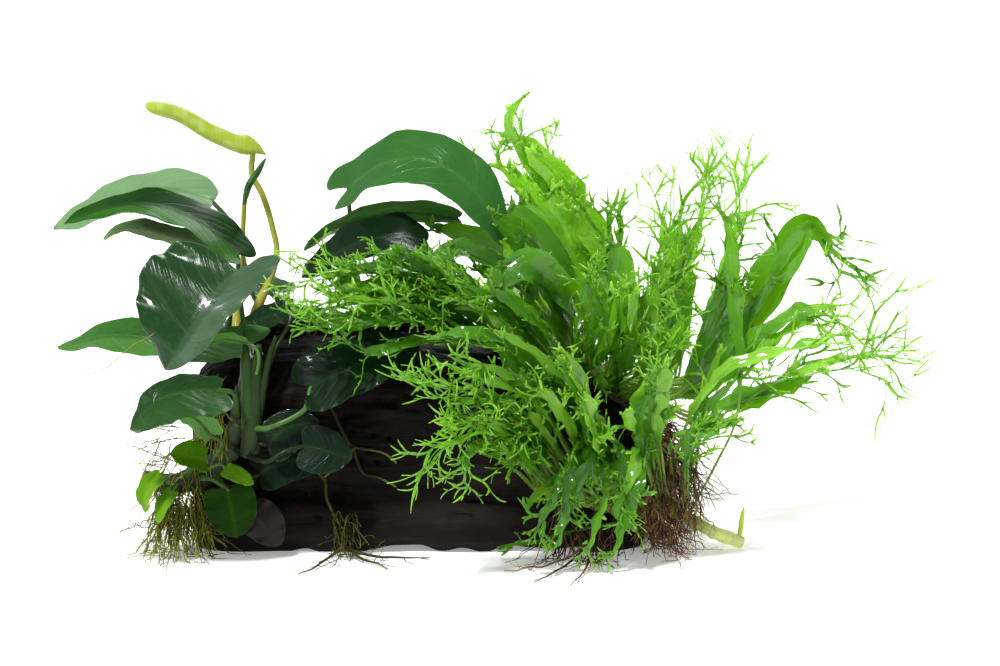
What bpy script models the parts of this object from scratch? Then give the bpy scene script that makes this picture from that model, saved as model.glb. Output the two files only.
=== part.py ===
"""Lace java fern and anubias grown onto a driftwood log that lies on a flat surface.

Sizes are millimetres until a mesh is made. +X runs to the right along the log, +Y to the back and +Z up,
and the origin is the middle of the flat underside that the log rests on.
Leaves, fronds and roots are laid out on a front sheet: a full-size front view, looking down a little, with
each point's depth behind the log's middle beside it. seen() turns such a point into real X, Y and Z.
"""
import math
import random
from collections import namedtuple

import bmesh
import bpy
import numpy as np

MM = 0.001

# The front sheet: how far the eye is, how much it looks down, and the point in the middle of the sheet.
SHEET_DISTANCE = 1600.0
SHEET_TILT = math.radians(10)
SHEET_AIM = np.array([40.0, 0.0, 102.0])
SHEET_AIM_UP = 109.5

# The log: its ends, its half depth, its top line and how far its rounded underside is cut flat, along X.
LOG_LEFT, LOG_RIGHT = -111.0, 111.0
LOG_HALF_DEPTH = 44.0
LOG_TOP = [(-111, 86), (-92, 98), (-70, 104), (-40, 103), (0, 103), (40, 97), (75, 85), (111, 63)]
LOG_CUT = [(-111, 7), (-60, 7), (-15, 4), (20, 4), (60, 7), (90, 7), (111, 4)]
LOG_STATIONS = 13
LOG_SIDES = 20
ROUNDNESS_ABOVE, ROUNDNESS_BELOW = 2.8, 8.0

# The log's skin: how much its ends shrink and over what length, then the groove, ledge and shoulder along
# it, with their heights, widths and depths. A pair is the depth on the front and on the back.
END_SHRINK, END_REACH, END_SLANT = 0.22, 9.0, 3.0
GROOVE_HEIGHT, GROOVE_FALL, GROOVE_WIDTH, GROOVE_DEPTHS = 27.0, 0.07, 5.5, (5.5, 3.0)
LEDGE_HEIGHT, LEDGE_WIDTH, LEDGE_DEPTHS = 12.0, 9.0, (3.0, 1.0)
SHOULDER_HEIGHT, SHOULDER_WIDTH, SHOULDER_DEPTH = 72.0, 16.0, 2.5
WAVE_DEPTH = 1.2

# Thickness of the leaf blades at the margin and at the midrib.
ANUBIAS_MARGIN, ANUBIAS_MIDRIB = 0.9, 2.0
FERN_MARGIN, FERN_MIDRIB = 0.7, 1.3
GAP = 0.6

GREEN_DARK = (0.03, 0.12, 0.04)
GREEN_YOUNG = (0.35, 0.55, 0.06)
GREEN_FERN = (0.12, 0.42, 0.03)
GREEN_STEM = (0.16, 0.26, 0.08)
WOOD = (0.030, 0.022, 0.018)
ROOT_OLIVE = (0.16, 0.17, 0.05)
ROOT_BROWN = (0.09, 0.05, 0.03)


def seen(across, up, back):
    """A point of the front sheet at the depth back, as real X, Y and Z."""
    cosine, sine = math.cos(SHEET_TILT), math.sin(SHEET_TILT)
    rise = up - SHEET_AIM_UP
    height = (rise * (SHEET_DISTANCE + back * cosine) - SHEET_DISTANCE * back * sine) / (
        SHEET_DISTANCE * cosine + rise * sine
    )
    depth = SHEET_DISTANCE + back * cosine - height * sine
    x = SHEET_AIM[0] + (across - SHEET_AIM[0]) * depth / SHEET_DISTANCE
    return np.array([x, back, SHEET_AIM[2] + height])


def smooth(points, count):
    """count points, evenly spaced along a smooth curve through the given points."""
    knots = np.array(points, float)
    padded = np.vstack([2 * knots[0] - knots[1], knots, 2 * knots[-1] - knots[-2]])
    steps = np.linspace(0, 1, 17)[:, None]
    pieces = []
    for before, start, end, after in zip(padded, padded[1:], padded[2:], padded[3:]):
        slope_in, slope_out = (end - before) / 2, (after - start) / 2
        pieces.append(
            start * (2 * steps**3 - 3 * steps**2 + 1)
            + slope_in * (steps**3 - 2 * steps**2 + steps)
            + end * (3 * steps**2 - 2 * steps**3)
            + slope_out * (steps**3 - steps**2)
        )
    curve = np.vstack(pieces)
    reach = np.concatenate([[0], np.cumsum(np.linalg.norm(np.diff(curve, axis=0), axis=1))])
    wanted = np.linspace(0, reach[-1], count)
    return np.stack([np.interp(wanted, reach, curve[:, axis]) for axis in range(3)], axis=1)


def unit(vectors):
    return vectors / np.maximum(np.linalg.norm(vectors, axis=-1, keepdims=True), 1e-9)


def carried(normal, start, end):
    """A normal carried from one tangent to the next by the shortest turn."""
    axis = np.cross(start, end)
    return normal + np.cross(axis, normal) + np.cross(axis, np.cross(axis, normal)) / (1 + start @ end + 1e-6)


def frames(path, face, middle):
    """Tangent, side and upper normal along a path. The upper side looks towards face at the row middle."""
    tangent = unit(np.gradient(path, axis=0))
    normal = np.zeros_like(path)
    wish = unit(np.array(face, float))
    normal[middle] = unit(wish - (wish @ tangent[middle]) * tangent[middle])
    for row in range(middle, len(path) - 1):
        normal[row + 1] = carried(normal[row], tangent[row], tangent[row + 1])
    for row in range(middle, 0, -1):
        normal[row - 1] = carried(normal[row], tangent[row], tangent[row - 1])
    return tangent, np.cross(tangent, normal), normal


def add_object(name, vertices, faces, colour, roughness):
    """One closed solid as an object with its own material."""
    mesh = bpy.data.meshes.new(name)
    mesh.from_pydata([tuple(v) for v in np.asarray(vertices) * MM], [], faces)
    shaped = bmesh.new()
    shaped.from_mesh(mesh)
    bmesh.ops.triangulate(shaped, faces=shaped.faces)
    bmesh.ops.recalc_face_normals(shaped, faces=shaped.faces)
    shaped.to_mesh(mesh)
    shaped.free()
    mesh.shade_smooth()
    mesh.set_sharp_from_angle(angle=math.radians(40))
    material = bpy.data.materials.new(name)
    material.use_nodes = True
    surface = material.node_tree.nodes["Principled BSDF"]
    surface.inputs["Base Color"].default_value = (*colour, 1.0)
    surface.inputs["Roughness"].default_value = roughness
    surface.inputs["Metallic"].default_value = 0.0
    mesh.materials.append(material)
    made = bpy.data.objects.new(name, mesh)
    bpy.context.scene.collection.objects.link(made)
    return made


# The driftwood log.


def log_form(x, turn):
    """A point of the log's skin at x and an angle round its length, with the grooves of weathered wood."""
    top, cut = np.interp(x, *zip(*LOG_TOP)), np.interp(x, *zip(*LOG_CUT))
    middle = (top - cut) / 2
    shrink = 1 - END_SHRINK * math.exp(-min(x - LOG_LEFT, LOG_RIGHT - x) / END_REACH)
    half_height, half_depth = (top + cut) / 2 * (0.6 + 0.4 * shrink), LOG_HALF_DEPTH * shrink
    c, s = math.cos(turn), math.sin(turn)
    power = ROUNDNESS_ABOVE if s > 0 else ROUNDNESS_BELOW
    squareness = (abs(c) ** power + abs(s) ** power) ** (-1 / power)
    y, z = c * squareness * half_depth, middle + s * squareness * half_height
    behind = 0 if c < 0 else 1
    groove = GROOVE_DEPTHS[behind] * math.exp(-(((z - GROOVE_HEIGHT + GROOVE_FALL * x) / GROOVE_WIDTH) ** 2))
    ledge = LEDGE_DEPTHS[behind] * math.exp(-(((z - LEDGE_HEIGHT) / LEDGE_WIDTH) ** 2))
    hump = math.exp(-(((z - SHOULDER_HEIGHT) / SHOULDER_WIDTH) ** 2))
    shoulder = SHOULDER_DEPTH * math.sin(0.05 * x + 1.3) * hump
    wave = WAVE_DEPTH * math.sin(0.11 * x + 3 * turn)
    y += math.copysign(1, c) * min(abs(c) * 3, 1) * (ledge - groove + shoulder + wave)
    return np.array([x, y, max(z, 0.0)])


def on_log(x, degrees, lift):
    """A point at a height above the log's skin: 90 degrees is the top of the log and 180 its front."""
    turn = math.radians(degrees)
    step = math.radians(6)
    here = log_form(x, turn)
    along = log_form(x + 4, turn) - log_form(x - 4, turn)
    round_it = log_form(x, turn + step) - log_form(x, turn - step)
    return here + unit(np.cross(round_it, along)) * lift


def front_of_log(x, height, lift):
    """A point in front of the log's skin at x and a height above the surface that the log lies on."""
    low, high = 120.0, 240.0
    for _ in range(30):
        middle = (low + high) / 2
        low, high = (middle, high) if log_form(x, math.radians(middle))[2] > height else (low, middle)
    return on_log(x, low, lift)


def add_log():
    stations = LOG_LEFT + (LOG_RIGHT - LOG_LEFT) * (1 - np.cos(np.linspace(0, math.pi, LOG_STATIONS))) / 2
    stations = 0.5 * stations + 0.5 * np.linspace(LOG_LEFT, LOG_RIGHT, LOG_STATIONS)
    turns = [2 * math.pi * (k + 0.5) / LOG_SIDES for k in range(LOG_SIDES)]
    rings = np.array([[log_form(x, turn) for turn in turns] for x in stations])
    rings[0, :, 0] += END_SLANT * np.sin(2 * np.array(turns))
    rings[-1, :, 0] += END_SLANT * np.cos(2 * np.array(turns))
    vertices = rings.reshape(-1, 3)
    faces = []
    for row in range(LOG_STATIONS - 1):
        for k in range(LOG_SIDES):
            a, b = row * LOG_SIDES + k, row * LOG_SIDES + (k + 1) % LOG_SIDES
            faces.append((a, b, b + LOG_SIDES, a + LOG_SIDES))
    faces.append(tuple(range(LOG_SIDES))[::-1])
    faces.append(tuple(range((LOG_STATIONS - 1) * LOG_SIDES, LOG_STATIONS * LOG_SIDES)))
    return add_object("driftwood_log", vertices, faces, WOOD, 0.8)


# Tubes: rhizomes and roots.


def tube(path, radii, sides):
    """Vertices and faces of a closed tube along a path, flat at both ends."""
    tangent, side, normal = frames(path, (0.12, -0.25, 0.96), 0)
    turn = np.arange(sides) * 2 * math.pi / sides
    around = side[:, None] * np.cos(turn)[:, None] + normal[:, None] * np.sin(turn)[:, None]
    rings = path[:, None] + around * np.asarray(radii, float)[:, None, None]
    faces = []
    for row in range(len(path) - 1):
        for k in range(sides):
            a, b = row * sides + k, row * sides + (k + 1) % sides
            faces.append((a, b, b + sides, a + sides))
    faces.append(tuple(range(sides))[::-1])
    faces.append(tuple(range((len(path) - 1) * sides, len(path) * sides)))
    return rings.reshape(-1, 3), faces


Rhizome = namedtuple("Rhizome", "points radii")
RHIZOME_ROWS, RHIZOME_SIDES = 9, 6
ANUBIAS_FRONT, ANUBIAS_TOP = "anubias_rhizome_front", "anubias_rhizome_top"
FERN_FRONT, FERN_TOP, FERN_BACK = "fern_rhizome_front", "fern_rhizome_top", "fern_rhizome_back"
RHIZOMES = {
    ANUBIAS_FRONT: Rhizome(
        [(-134, -50, 40), (-119, -52, 37), on_log(-104, 178, 7), on_log(-92, 174, 6.5), on_log(-87, 160, 6.5),
         on_log(-83, 145, 7)],
        [3.0, 4.6, 5.0, 5.4, 5.0, 5.8],
    ),
    ANUBIAS_TOP: Rhizome(
        [on_log(-92, 102, 4), on_log(-70, 94, 4.8), on_log(-40, 86, 4.8), on_log(-8, 83, 4.4),
         on_log(18, 83, 3.4)],
        [2.6, 4.2, 4.0, 3.8, 2.4],
    ),
    FERN_FRONT: Rhizome(
        [(160, -34, 3.4), (142, -40, 11), (126, -48, 22), on_log(104, 192, 7), on_log(80, 190, 6.2),
         on_log(56, 188, 5)],
        [2.6, 2.8, 2.8, 2.6, 2.4, 1.8],
    ),
    FERN_TOP: Rhizome(
        [on_log(106, 104, 3.5), on_log(90, 102, 3.8), on_log(66, 100, 3.8), on_log(40, 98, 3)],
        [2.0, 2.6, 2.6, 1.8],
    ),
    FERN_BACK: Rhizome(
        [on_log(106, 52, 3.5), on_log(90, 50, 3.8), on_log(64, 50, 3.8), on_log(38, 50, 3)],
        [2.0, 2.6, 2.6, 1.8],
    ),
}


def rhizome_line(name):
    """The centre line of a rhizome and its radius at each point of it."""
    host = RHIZOMES[name]
    path = smooth(host.points, RHIZOME_ROWS)
    along = np.linspace(0, 1, RHIZOME_ROWS)
    return path, np.interp(along, np.linspace(0, 1, len(host.radii)), host.radii)


def leave(host, along, towards, gap):
    """Where a stalk leaves a rhizome on the side that faces a point, and the direction that it leaves in."""
    path, radii = rhizome_line(host)
    row = along * (RHIZOME_ROWS - 1)
    centre = np.array([np.interp(row, range(RHIZOME_ROWS), path[:, axis]) for axis in range(3)])
    radius = np.interp(row, range(RHIZOME_ROWS), radii)
    before = min(int(row), RHIZOME_ROWS - 2)
    tangent = unit(path[before + 1] - path[before])
    out = np.asarray(towards) - centre
    out = unit(out - (out @ tangent) * tangent)
    return centre + out * (radius + gap), out


# Leaf blades, as rows of three points over three points from the stalk's foot to the tip.


def three_point_rows(path, side, normal, left, right, rise, margin, midrib, backs=(0.0, 0.0)):
    """Upper and lower rows of left margin, midrib and right margin: (row, upper or lower, point, xyz)."""
    half_margin, half_midrib = normal * (margin / 2)[:, None], normal * (midrib / 2)[:, None]
    left_edge = path + backs[0] - side * left[:, None] + normal * (rise * left)[:, None]
    right_edge = path + backs[1] + side * right[:, None] + normal * (rise * right)[:, None]
    upper = np.stack([left_edge + half_margin, path + half_midrib, right_edge + half_margin], axis=1)
    lower = np.stack([left_edge - half_margin, path - half_midrib, right_edge - half_margin], axis=1)
    return np.stack([upper, lower], axis=1)


def strip_faces(rows):
    """Faces of a strip of three-point rows, open at its end and closed at its start."""
    faces = []
    for row in range(rows - 1):
        a, b = row * 6, row * 6 + 6
        for k in (0, 1):
            faces.append((a + k, a + k + 1, b + k + 1, b + k))
            faces.append((b + 3 + k, b + 4 + k, a + 4 + k, a + 3 + k))
        faces.append((a + 3, a, b, b + 3))
        faces.append((a + 2, a + 5, b + 5, b + 2))
    faces.append((0, 3, 4, 1))
    faces.append((1, 4, 5, 2))
    return faces


# Anubias leaves.

AnubiasLeaf = namedtuple("AnubiasLeaf", "host along stalk blade left right face rise lobe kind")
FLAT, ROLLED = "flat", "rolled"
STALK_ROWS, BLADE_ROWS = 4, 7
SMALL_STALK_ROWS, SMALL_BLADE_ROWS, SMALL_WIDTH = 3, 5, 24.5
STALK_RADIUS = 1.3
SIX_SIDED = 0.87


def leaf(host, along, stalk, blade, left, right, face, rise=0.12, lobe=0.1, kind=FLAT):
    """One row of the leaf table: points on the front sheet, half widths and the way the upper side looks.

    lobe is the base lobes' depth as a share of the length, or one share for the left and one for the right.
    """
    lobes = lobe if isinstance(lobe, tuple) else (lobe, lobe)
    return AnubiasLeaf(host, along, stalk, blade, left, right, face, rise, lobes, kind)


ANUBIAS_LEAVES = {
    "anubias_leaf_rolled_pale": leaf(
        ANUBIAS_TOP, 0.13, [(-72, 146, 8), (-74, 163, 10), (-78.5, 178, 10), (-84, 189, 10)],
        [(-83, 200, 8), (-105, 210.5, 8), (-121, 219.5, 6), (-137.5, 223.5, 4)], 4.6, 4.6, (0, -0.6, 0.8),
        kind=ROLLED,
    ),
    "anubias_leaf_rolled_dark": leaf(
        ANUBIAS_TOP, 0.05, [(-89, 136, 9), (-88.5, 160, 9)],
        [(-88, 174, 6), (-85.5, 183, 3), (-81, 190, 0), (-77, 197, -2)], 2.4, 2.4, (0, -1, 0.2), kind=ROLLED,
    ),
    "anubias_leaf_pale_back": leaf(
        ANUBIAS_TOP, 0.2, [(-84, 130, 22), (-92, 160, 36)],
        [(-104, 176, 40), (-127, 181, 42), (-155, 174, 38), (-183, 161, 32)], 17, 17, (-0.1, -0.45, 0.9),
        lobe=0.02,
    ),
    "anubias_leaf_long": leaf(
        ANUBIAS_TOP, 0.0, [(-94, 124, -16), (-91, 138, -14)],
        [(-91, 149, -10), (-110, 165, -2), (-136, 174, 2), (-160, 171, 3), (-178, 164, 4)],
        15, 15, (0.1, -0.35, 0.94), lobe=0.06,
    ),
    "anubias_leaf_hooked": leaf(
        ANUBIAS_TOP, 0.28, [(-80, 134, 18), (-94, 147, 14)],
        [(-104, 151, 10), (-122, 157, 12), (-140, 162, 14), (-152, 161, 14), (-158, 156, 12)],
        10, 10, (0, -0.3, 0.95), lobe=0.04,
    ),
    "anubias_leaf_broad_front": leaf(
        ANUBIAS_FRONT, 1.0, [(-87, 100, -52), (-90, 128, -42)],
        [(-92, 141, -46), (-106, 125, -60), (-118, 106, -66), (-127.5, 91, -64)],
        15, 37, (-0.15, -0.8, 0.57), rise=0.1, lobe=(0.28, 0.04),
    ),
    "anubias_leaf_left": leaf(
        ANUBIAS_FRONT, 0.94, [(-84, 95, -50)],
        [(-84, 104, -36), (-102, 104, -33), (-128, 106, -30), (-155, 108, -28), (-181, 102, -26)],
        19, 16, (0, -0.4, 0.92), lobe=0.08,
    ),
    "anubias_leaf_lower_left": leaf(
        ANUBIAS_FRONT, 0.84, [(-93, 79, -68)],
        [(-100, 81, -75), (-117, 80, -83), (-132, 75, -87), (-145, 61, -85)], 20, 11, (-0.1, -0.6, 0.8),
        lobe=0.05,
    ),
    "anubias_leaf_behind_stem": leaf(
        ANUBIAS_FRONT, 0.98, [(-73, 100, -46), (-66, 113, -36)],
        [(-65, 121, -18), (-74, 118, -16), (-83, 115, -16), (-91, 112, -17)], 9, 9, (0, -0.5, 0.85),
    ),
    "anubias_leaf_curled_under": leaf(
        ANUBIAS_FRONT, 0.9, [(-81, 92, -60), (-81.5, 101, -58)],
        [(-87, 105, -57), (-96, 106.5, -55), (-105, 105, -55), (-113, 100, -56)], 6, 6, (0, 0.6, 0.8),
        lobe=0.05,
    ),
    "anubias_leaf_young_cup": leaf(
        ANUBIAS_FRONT, 0.26, [(-112, 44, -64)],
        [(-108, 46, -67), (-116, 48, -71), (-125, 49, -73)], 8, 8, (0, -0.75, 0.65), rise=0.3,
    ),
    "anubias_leaf_underside": leaf(
        ANUBIAS_FRONT, 0.56, [(-99, 54, -66)],
        [(-105, 59, -68), (-111, 66, -69), (-120, 70, -71), (-132, 67, -73)], 9, 9, (-0.2, 0.62, 0.75),
        lobe=0.1,
    ),
    "anubias_leaf_round": leaf(
        ANUBIAS_FRONT, 0.32, [(-103, 36, -64)],
        [(-96, 31, -66), (-94, 20, -67), (-91.5, 7, -66)], 12.5, 12.5, (0, -0.98, 0.2), rise=0.05,
    ),
    "anubias_leaf_old_brown": leaf(
        ANUBIAS_FRONT, 0.46, [(-92, 28, -56)],
        [(-85, 21, -55), (-78, 14.5, -56), (-70, 3, -56)], 10, 10, (0, -0.98, 0.2), rise=0.0, lobe=0.05,
    ),
    "anubias_leaf_on_log_top": leaf(
        ANUBIAS_FRONT, 0.72, [(-80, 54, -60)],
        [(-76, 54, -60), (-66, 62, -59), (-50, 65, -57)], 9, 12, (0, -0.95, 0.3), rise=0.05,
    ),
    "anubias_leaf_on_log": leaf(
        ANUBIAS_FRONT, 0.58, [(-84, 38, -58)],
        [(-79, 40, -56), (-66, 46, -56), (-46, 46, -55)], 12, 11, (0, -0.96, 0.25), rise=0.05,
    ),
    "anubias_leaf_on_log_outer": leaf(
        ANUBIAS_FRONT, 0.64, [(-78, 45, -68), (-68, 50, -68)],
        [(-58, 53, -66), (-48, 51, -66), (-34, 47, -64)], 11, 12, (0, -0.95, 0.3), rise=0.05,
    ),
    "anubias_leaf_over_log": leaf(
        ANUBIAS_FRONT, 0.78, [(-76, 62, -66), (-59, 70, -64), (-56, 77, -62)],
        [(-55, 82, -59), (-40, 90, -58), (-22, 97, -56), (0, 104, -54)], 17, 17, (-0.1, -0.75, 0.65),
        lobe=0.1,
    ),
    "anubias_leaf_arching": leaf(
        ANUBIAS_TOP, 0.6, [(-33, 146, 32), (-35, 168, 30)],
        [(-36, 182, 12), (-18, 194, 0), (3, 196, -8), (23, 185, -15), (35, 169, -19), (41, 153, -19)],
        18, 18, (0.1, -0.7, 0.7), lobe=(0.1, 0.02),
    ),
    "anubias_leaf_mid_under": leaf(
        ANUBIAS_TOP, 0.9, [(14, 140, 20), (20, 162, 14)],
        [(18, 167, 6), (-6, 170, 2), (-28, 167, -1), (-46, 160, -4), (-58, 151, -6)],
        10, 10, (0, 0.62, 0.78), lobe=0.03,
    ),
    "anubias_leaf_mid_dark": leaf(
        ANUBIAS_TOP, 0.82, [(0, 136, -6), (4, 149, -12)],
        [(3, 155, -16), (-12, 158.5, -20), (-36, 152, -24), (-59, 137, -26)], 17, 17, (-0.2, -0.45, 0.88),
        lobe=0.04,
    ),
    "anubias_leaf_mid_low": leaf(
        ANUBIAS_TOP, 1.0, [(24, 130, 24)],
        [(16, 140, 28), (-4, 147, 28), (-24, 144, 26)], 10, 10, (0, -0.4, 0.9),
    ),
    "anubias_leaf_foot_outer": leaf(
        ANUBIAS_FRONT, 0.06, [(-128, 38, -62)],
        [(-130, 38, -66), (-135, 34, -69), (-138, 28, -70), (-137, 20, -70)], 6.5, 6.5, (-0.5, -0.6, 0.6),
    ),
    "anubias_leaf_back_left": leaf(
        ANUBIAS_TOP, 0.4, [(-66, 124, 26)],
        [(-74, 130, 42), (-88, 134, 66), (-98, 120, 88)], 15, 15, (-0.2, 0.2, 0.95),
    ),
    "anubias_leaf_back_mid": leaf(
        ANUBIAS_TOP, 0.72, [(-12, 128, 30)],
        [(-8, 140, 46), (2, 142, 70), (12, 126, 94)], 15, 15, (0.1, 0.25, 0.95),
    ),
}
ANUBIAS_SHOOTS = [
    leaf(ANUBIAS_FRONT, 0.42, [(-100, 44, -66)], [(-97, 41, -68), (-90, 38, -70), (-83, 34, -69)],
         4.5, 4.5, (0, -0.7, 0.7)),
    leaf(ANUBIAS_FRONT, 0.15, [(-122, 34, -64)], [(-124, 30, -67), (-129, 23, -70), (-131, 14, -70)],
         4, 4, (-0.3, -0.8, 0.5)),
]


OVATE_START, OVATE_SWELL, OVATE_TAPER, OVATE_PEAK = 0.12, 0.45, 0.75, 0.518
POINTED = 0.03
LOBE_REACH = 0.25


def blade_half_width(s):
    """Ovate outline as a share of the half width: widest a third of the way up, still broad at the base."""
    return (s + OVATE_START) ** OVATE_SWELL * (1 - s) ** OVATE_TAPER / OVATE_PEAK


def leaf_solid(record, gap=GAP):
    """Vertices and faces of one anubias leaf: its stalk and its blade in one strip."""
    small = record.left + record.right < SMALL_WIDTH
    stalk_rows, blade_rows = (SMALL_STALK_ROWS, SMALL_BLADE_ROWS) if small else (STALK_ROWS, BLADE_ROWS)
    blade_points = [seen(*p) for p in record.blade]
    stalk_points = [seen(*p) for p in record.stalk]
    foot, out = leave(record.host, record.along, stalk_points[0], gap)
    stalk = smooth([foot, foot + out * 4, *stalk_points, blade_points[0]], stalk_rows + 1)[:-1]
    blade = smooth(blade_points, blade_rows)
    path = np.vstack([stalk, blade])
    s = np.linspace(0, 1, blade_rows)
    outline = np.maximum(blade_half_width(s), POINTED)
    count = len(path)
    left, right = np.full(count, STALK_RADIUS * SIX_SIDED), np.full(count, STALK_RADIUS * SIX_SIDED)
    margin, midrib = np.full(count, STALK_RADIUS), np.full(count, STALK_RADIUS * 2)
    rise = np.zeros(count)
    backs = np.zeros((2, count, 3))
    _, side, normal = frames(path, record.face, stalk_rows + blade_rows // 2)
    left[stalk_rows:], right[stalk_rows:] = record.left * outline, record.right * outline
    if record.kind == ROLLED:
        thick = 2 * record.left * outline
        margin[stalk_rows:], midrib[stalk_rows:] = thick * 0.5, thick
        left[stalk_rows:] *= SIX_SIDED
        right[stalk_rows:] *= SIX_SIDED
    else:
        margin[stalk_rows:] = ANUBIAS_MARGIN
        midrib[stalk_rows:] = np.linspace(ANUBIAS_MIDRIB, ANUBIAS_MARGIN, blade_rows)
        rise[stalk_rows:] = record.rise
        length = np.linalg.norm(np.diff(blade, axis=0), axis=1).sum()
        behind = -unit(np.gradient(blade, axis=0)) * (length * np.maximum(1 - s / LOBE_REACH, 0))[:, None]
        backs[:, stalk_rows:] = np.array(record.lobe)[:, None, None] * behind
    rows = three_point_rows(path, side, normal, left, right, rise, margin, midrib, backs)
    faces = strip_faces(count)
    last = (count - 1) * 6
    faces += [(last + 1, last + 4, last + 3, last), (last + 2, last + 5, last + 4, last + 1)]
    return rows.reshape(-1, 3), faces


# Forked tips of the fern fronds.

FORK_SHARES = (0.42, 0.34, 0.24)
FORK_NARROWING = 0.55
LAST_STRETCH = 1.2
SPREAD_DEGREES, LEAN_DEGREES = (18, 34), (-10, 10)


def fork_tree(seed, reach, levels, half_width, opening):
    """The forked tip drawn flat, as strips on a sheet whose y runs on from the blade.

    Each strip has two start points and either three end points, where it forks again, or one tip.
    """
    dice = random.Random(seed)
    strips = []

    def grow(left, right, heading, level):
        foot = (left + right) / 2
        step = FORK_SHARES[level] * reach * dice.uniform(0.8, 1.2)
        ahead = np.array([math.sin(heading), math.cos(heading)])
        across = np.array([math.cos(heading), -math.sin(heading)])
        if level + 1 == levels:
            strips.append(((left, right), (foot + LAST_STRETCH * step * ahead,)))
            return
        half = half_width * FORK_NARROWING ** (level + 1)
        middle = foot + step * ahead
        ends = (middle - across * half, middle, middle + across * half)
        strips.append(((left, right), ends))
        spread = math.radians(dice.uniform(*SPREAD_DEGREES))
        lean = math.radians(dice.uniform(*LEAN_DEGREES))
        grow(ends[0], ends[1], heading - spread + lean, level + 1)
        grow(ends[1], ends[2], heading + spread + lean, level + 1)

    edge = np.array([half_width, 0.0])
    spread = math.radians(opening)
    grow(-edge, 0 * edge, -spread * dice.uniform(0.8, 1.2), 0)
    grow(0 * edge, edge, spread * dice.uniform(0.8, 1.2), 0)
    return strips


def add_forks(vertices, faces, last_row, frame, strips):
    """Grows the fork strips from the last three-point row. last_row is the index of its first vertex."""
    origin, tangent, side, normal = frame
    known = {}

    def corner(point):
        """The upper and lower vertex at a point of the sheet, bent round the curl."""
        key = tuple(np.round(point, 4))
        if key not in known:
            bend = point[1] * CURL
            droop = tangent * math.sin(bend) - normal * (1 - math.cos(bend))
            centre = origin + side * point[0] + droop / CURL
            upright = normal * math.cos(bend) + tangent * math.sin(bend)
            known[key] = (len(vertices), len(vertices) + 1)
            vertices.append(centre + upright * FERN_MARGIN / 2)
            vertices.append(centre - upright * FERN_MARGIN / 2)
        return known[key]

    first = strips[0][0]
    other = next(start for start, _ in strips if np.allclose(start[0], first[1]))
    for column, point in enumerate((first[0], first[1], other[1])):
        known[tuple(np.round(point, 4))] = (last_row + column, last_row + column + 3)
    for start, end in strips:
        (a, a_low), (b, b_low) = corner(start[0]), corner(start[1])
        if len(end) == 1:
            tip, tip_low = corner(end[0])
            faces += [(a, b, tip), (b_low, a_low, tip_low)]
            faces += [(a_low, a, tip, tip_low), (b, b_low, tip_low, tip)]
            continue
        (c, c_low), (m, m_low), (d, d_low) = (corner(point) for point in end)
        faces += [(a, m, c), (a, b, m), (b, d, m)]
        faces += [(m_low, a_low, c_low), (b_low, a_low, m_low), (d_low, b_low, m_low)]
        faces += [(a_low, a, c, c_low), (b, b_low, d_low, d)]


# Fern fronds.

Frond = namedtuple("Frond", "host along path half_width stipe face reach levels opening seed rows")
FROND_ROWS, SHORT_ROWS, SMALL_ROWS = 8, 7, 5
STIPE_RADIUS = 0.75
CURL = 0.008
OUTWARD, LEVEL, OVER = (0, -0.85, 0.5), (0, -0.5, 0.85), (0, -0.7, 0.7)
BEHIND = (0, 0.3, 0.95)


def frond(host, along, path, half_width, reach, face=OUTWARD, stipe=0.35, levels=2, opening=25, seed=1,
          rows=FROND_ROWS):
    """One row of the frond table: points on the front sheet, half width and the forked tip's reach."""
    return Frond(host, along, path, half_width, stipe, face, reach, levels, opening, seed, rows)


def small_frond(host, along, path, half_width, reach, face=OUTWARD, seed=1):
    """One row of the table of small fronds, whose tip forks once."""
    return frond(host, along, path, half_width, reach, face, levels=1, seed=seed, rows=SMALL_ROWS)


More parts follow.
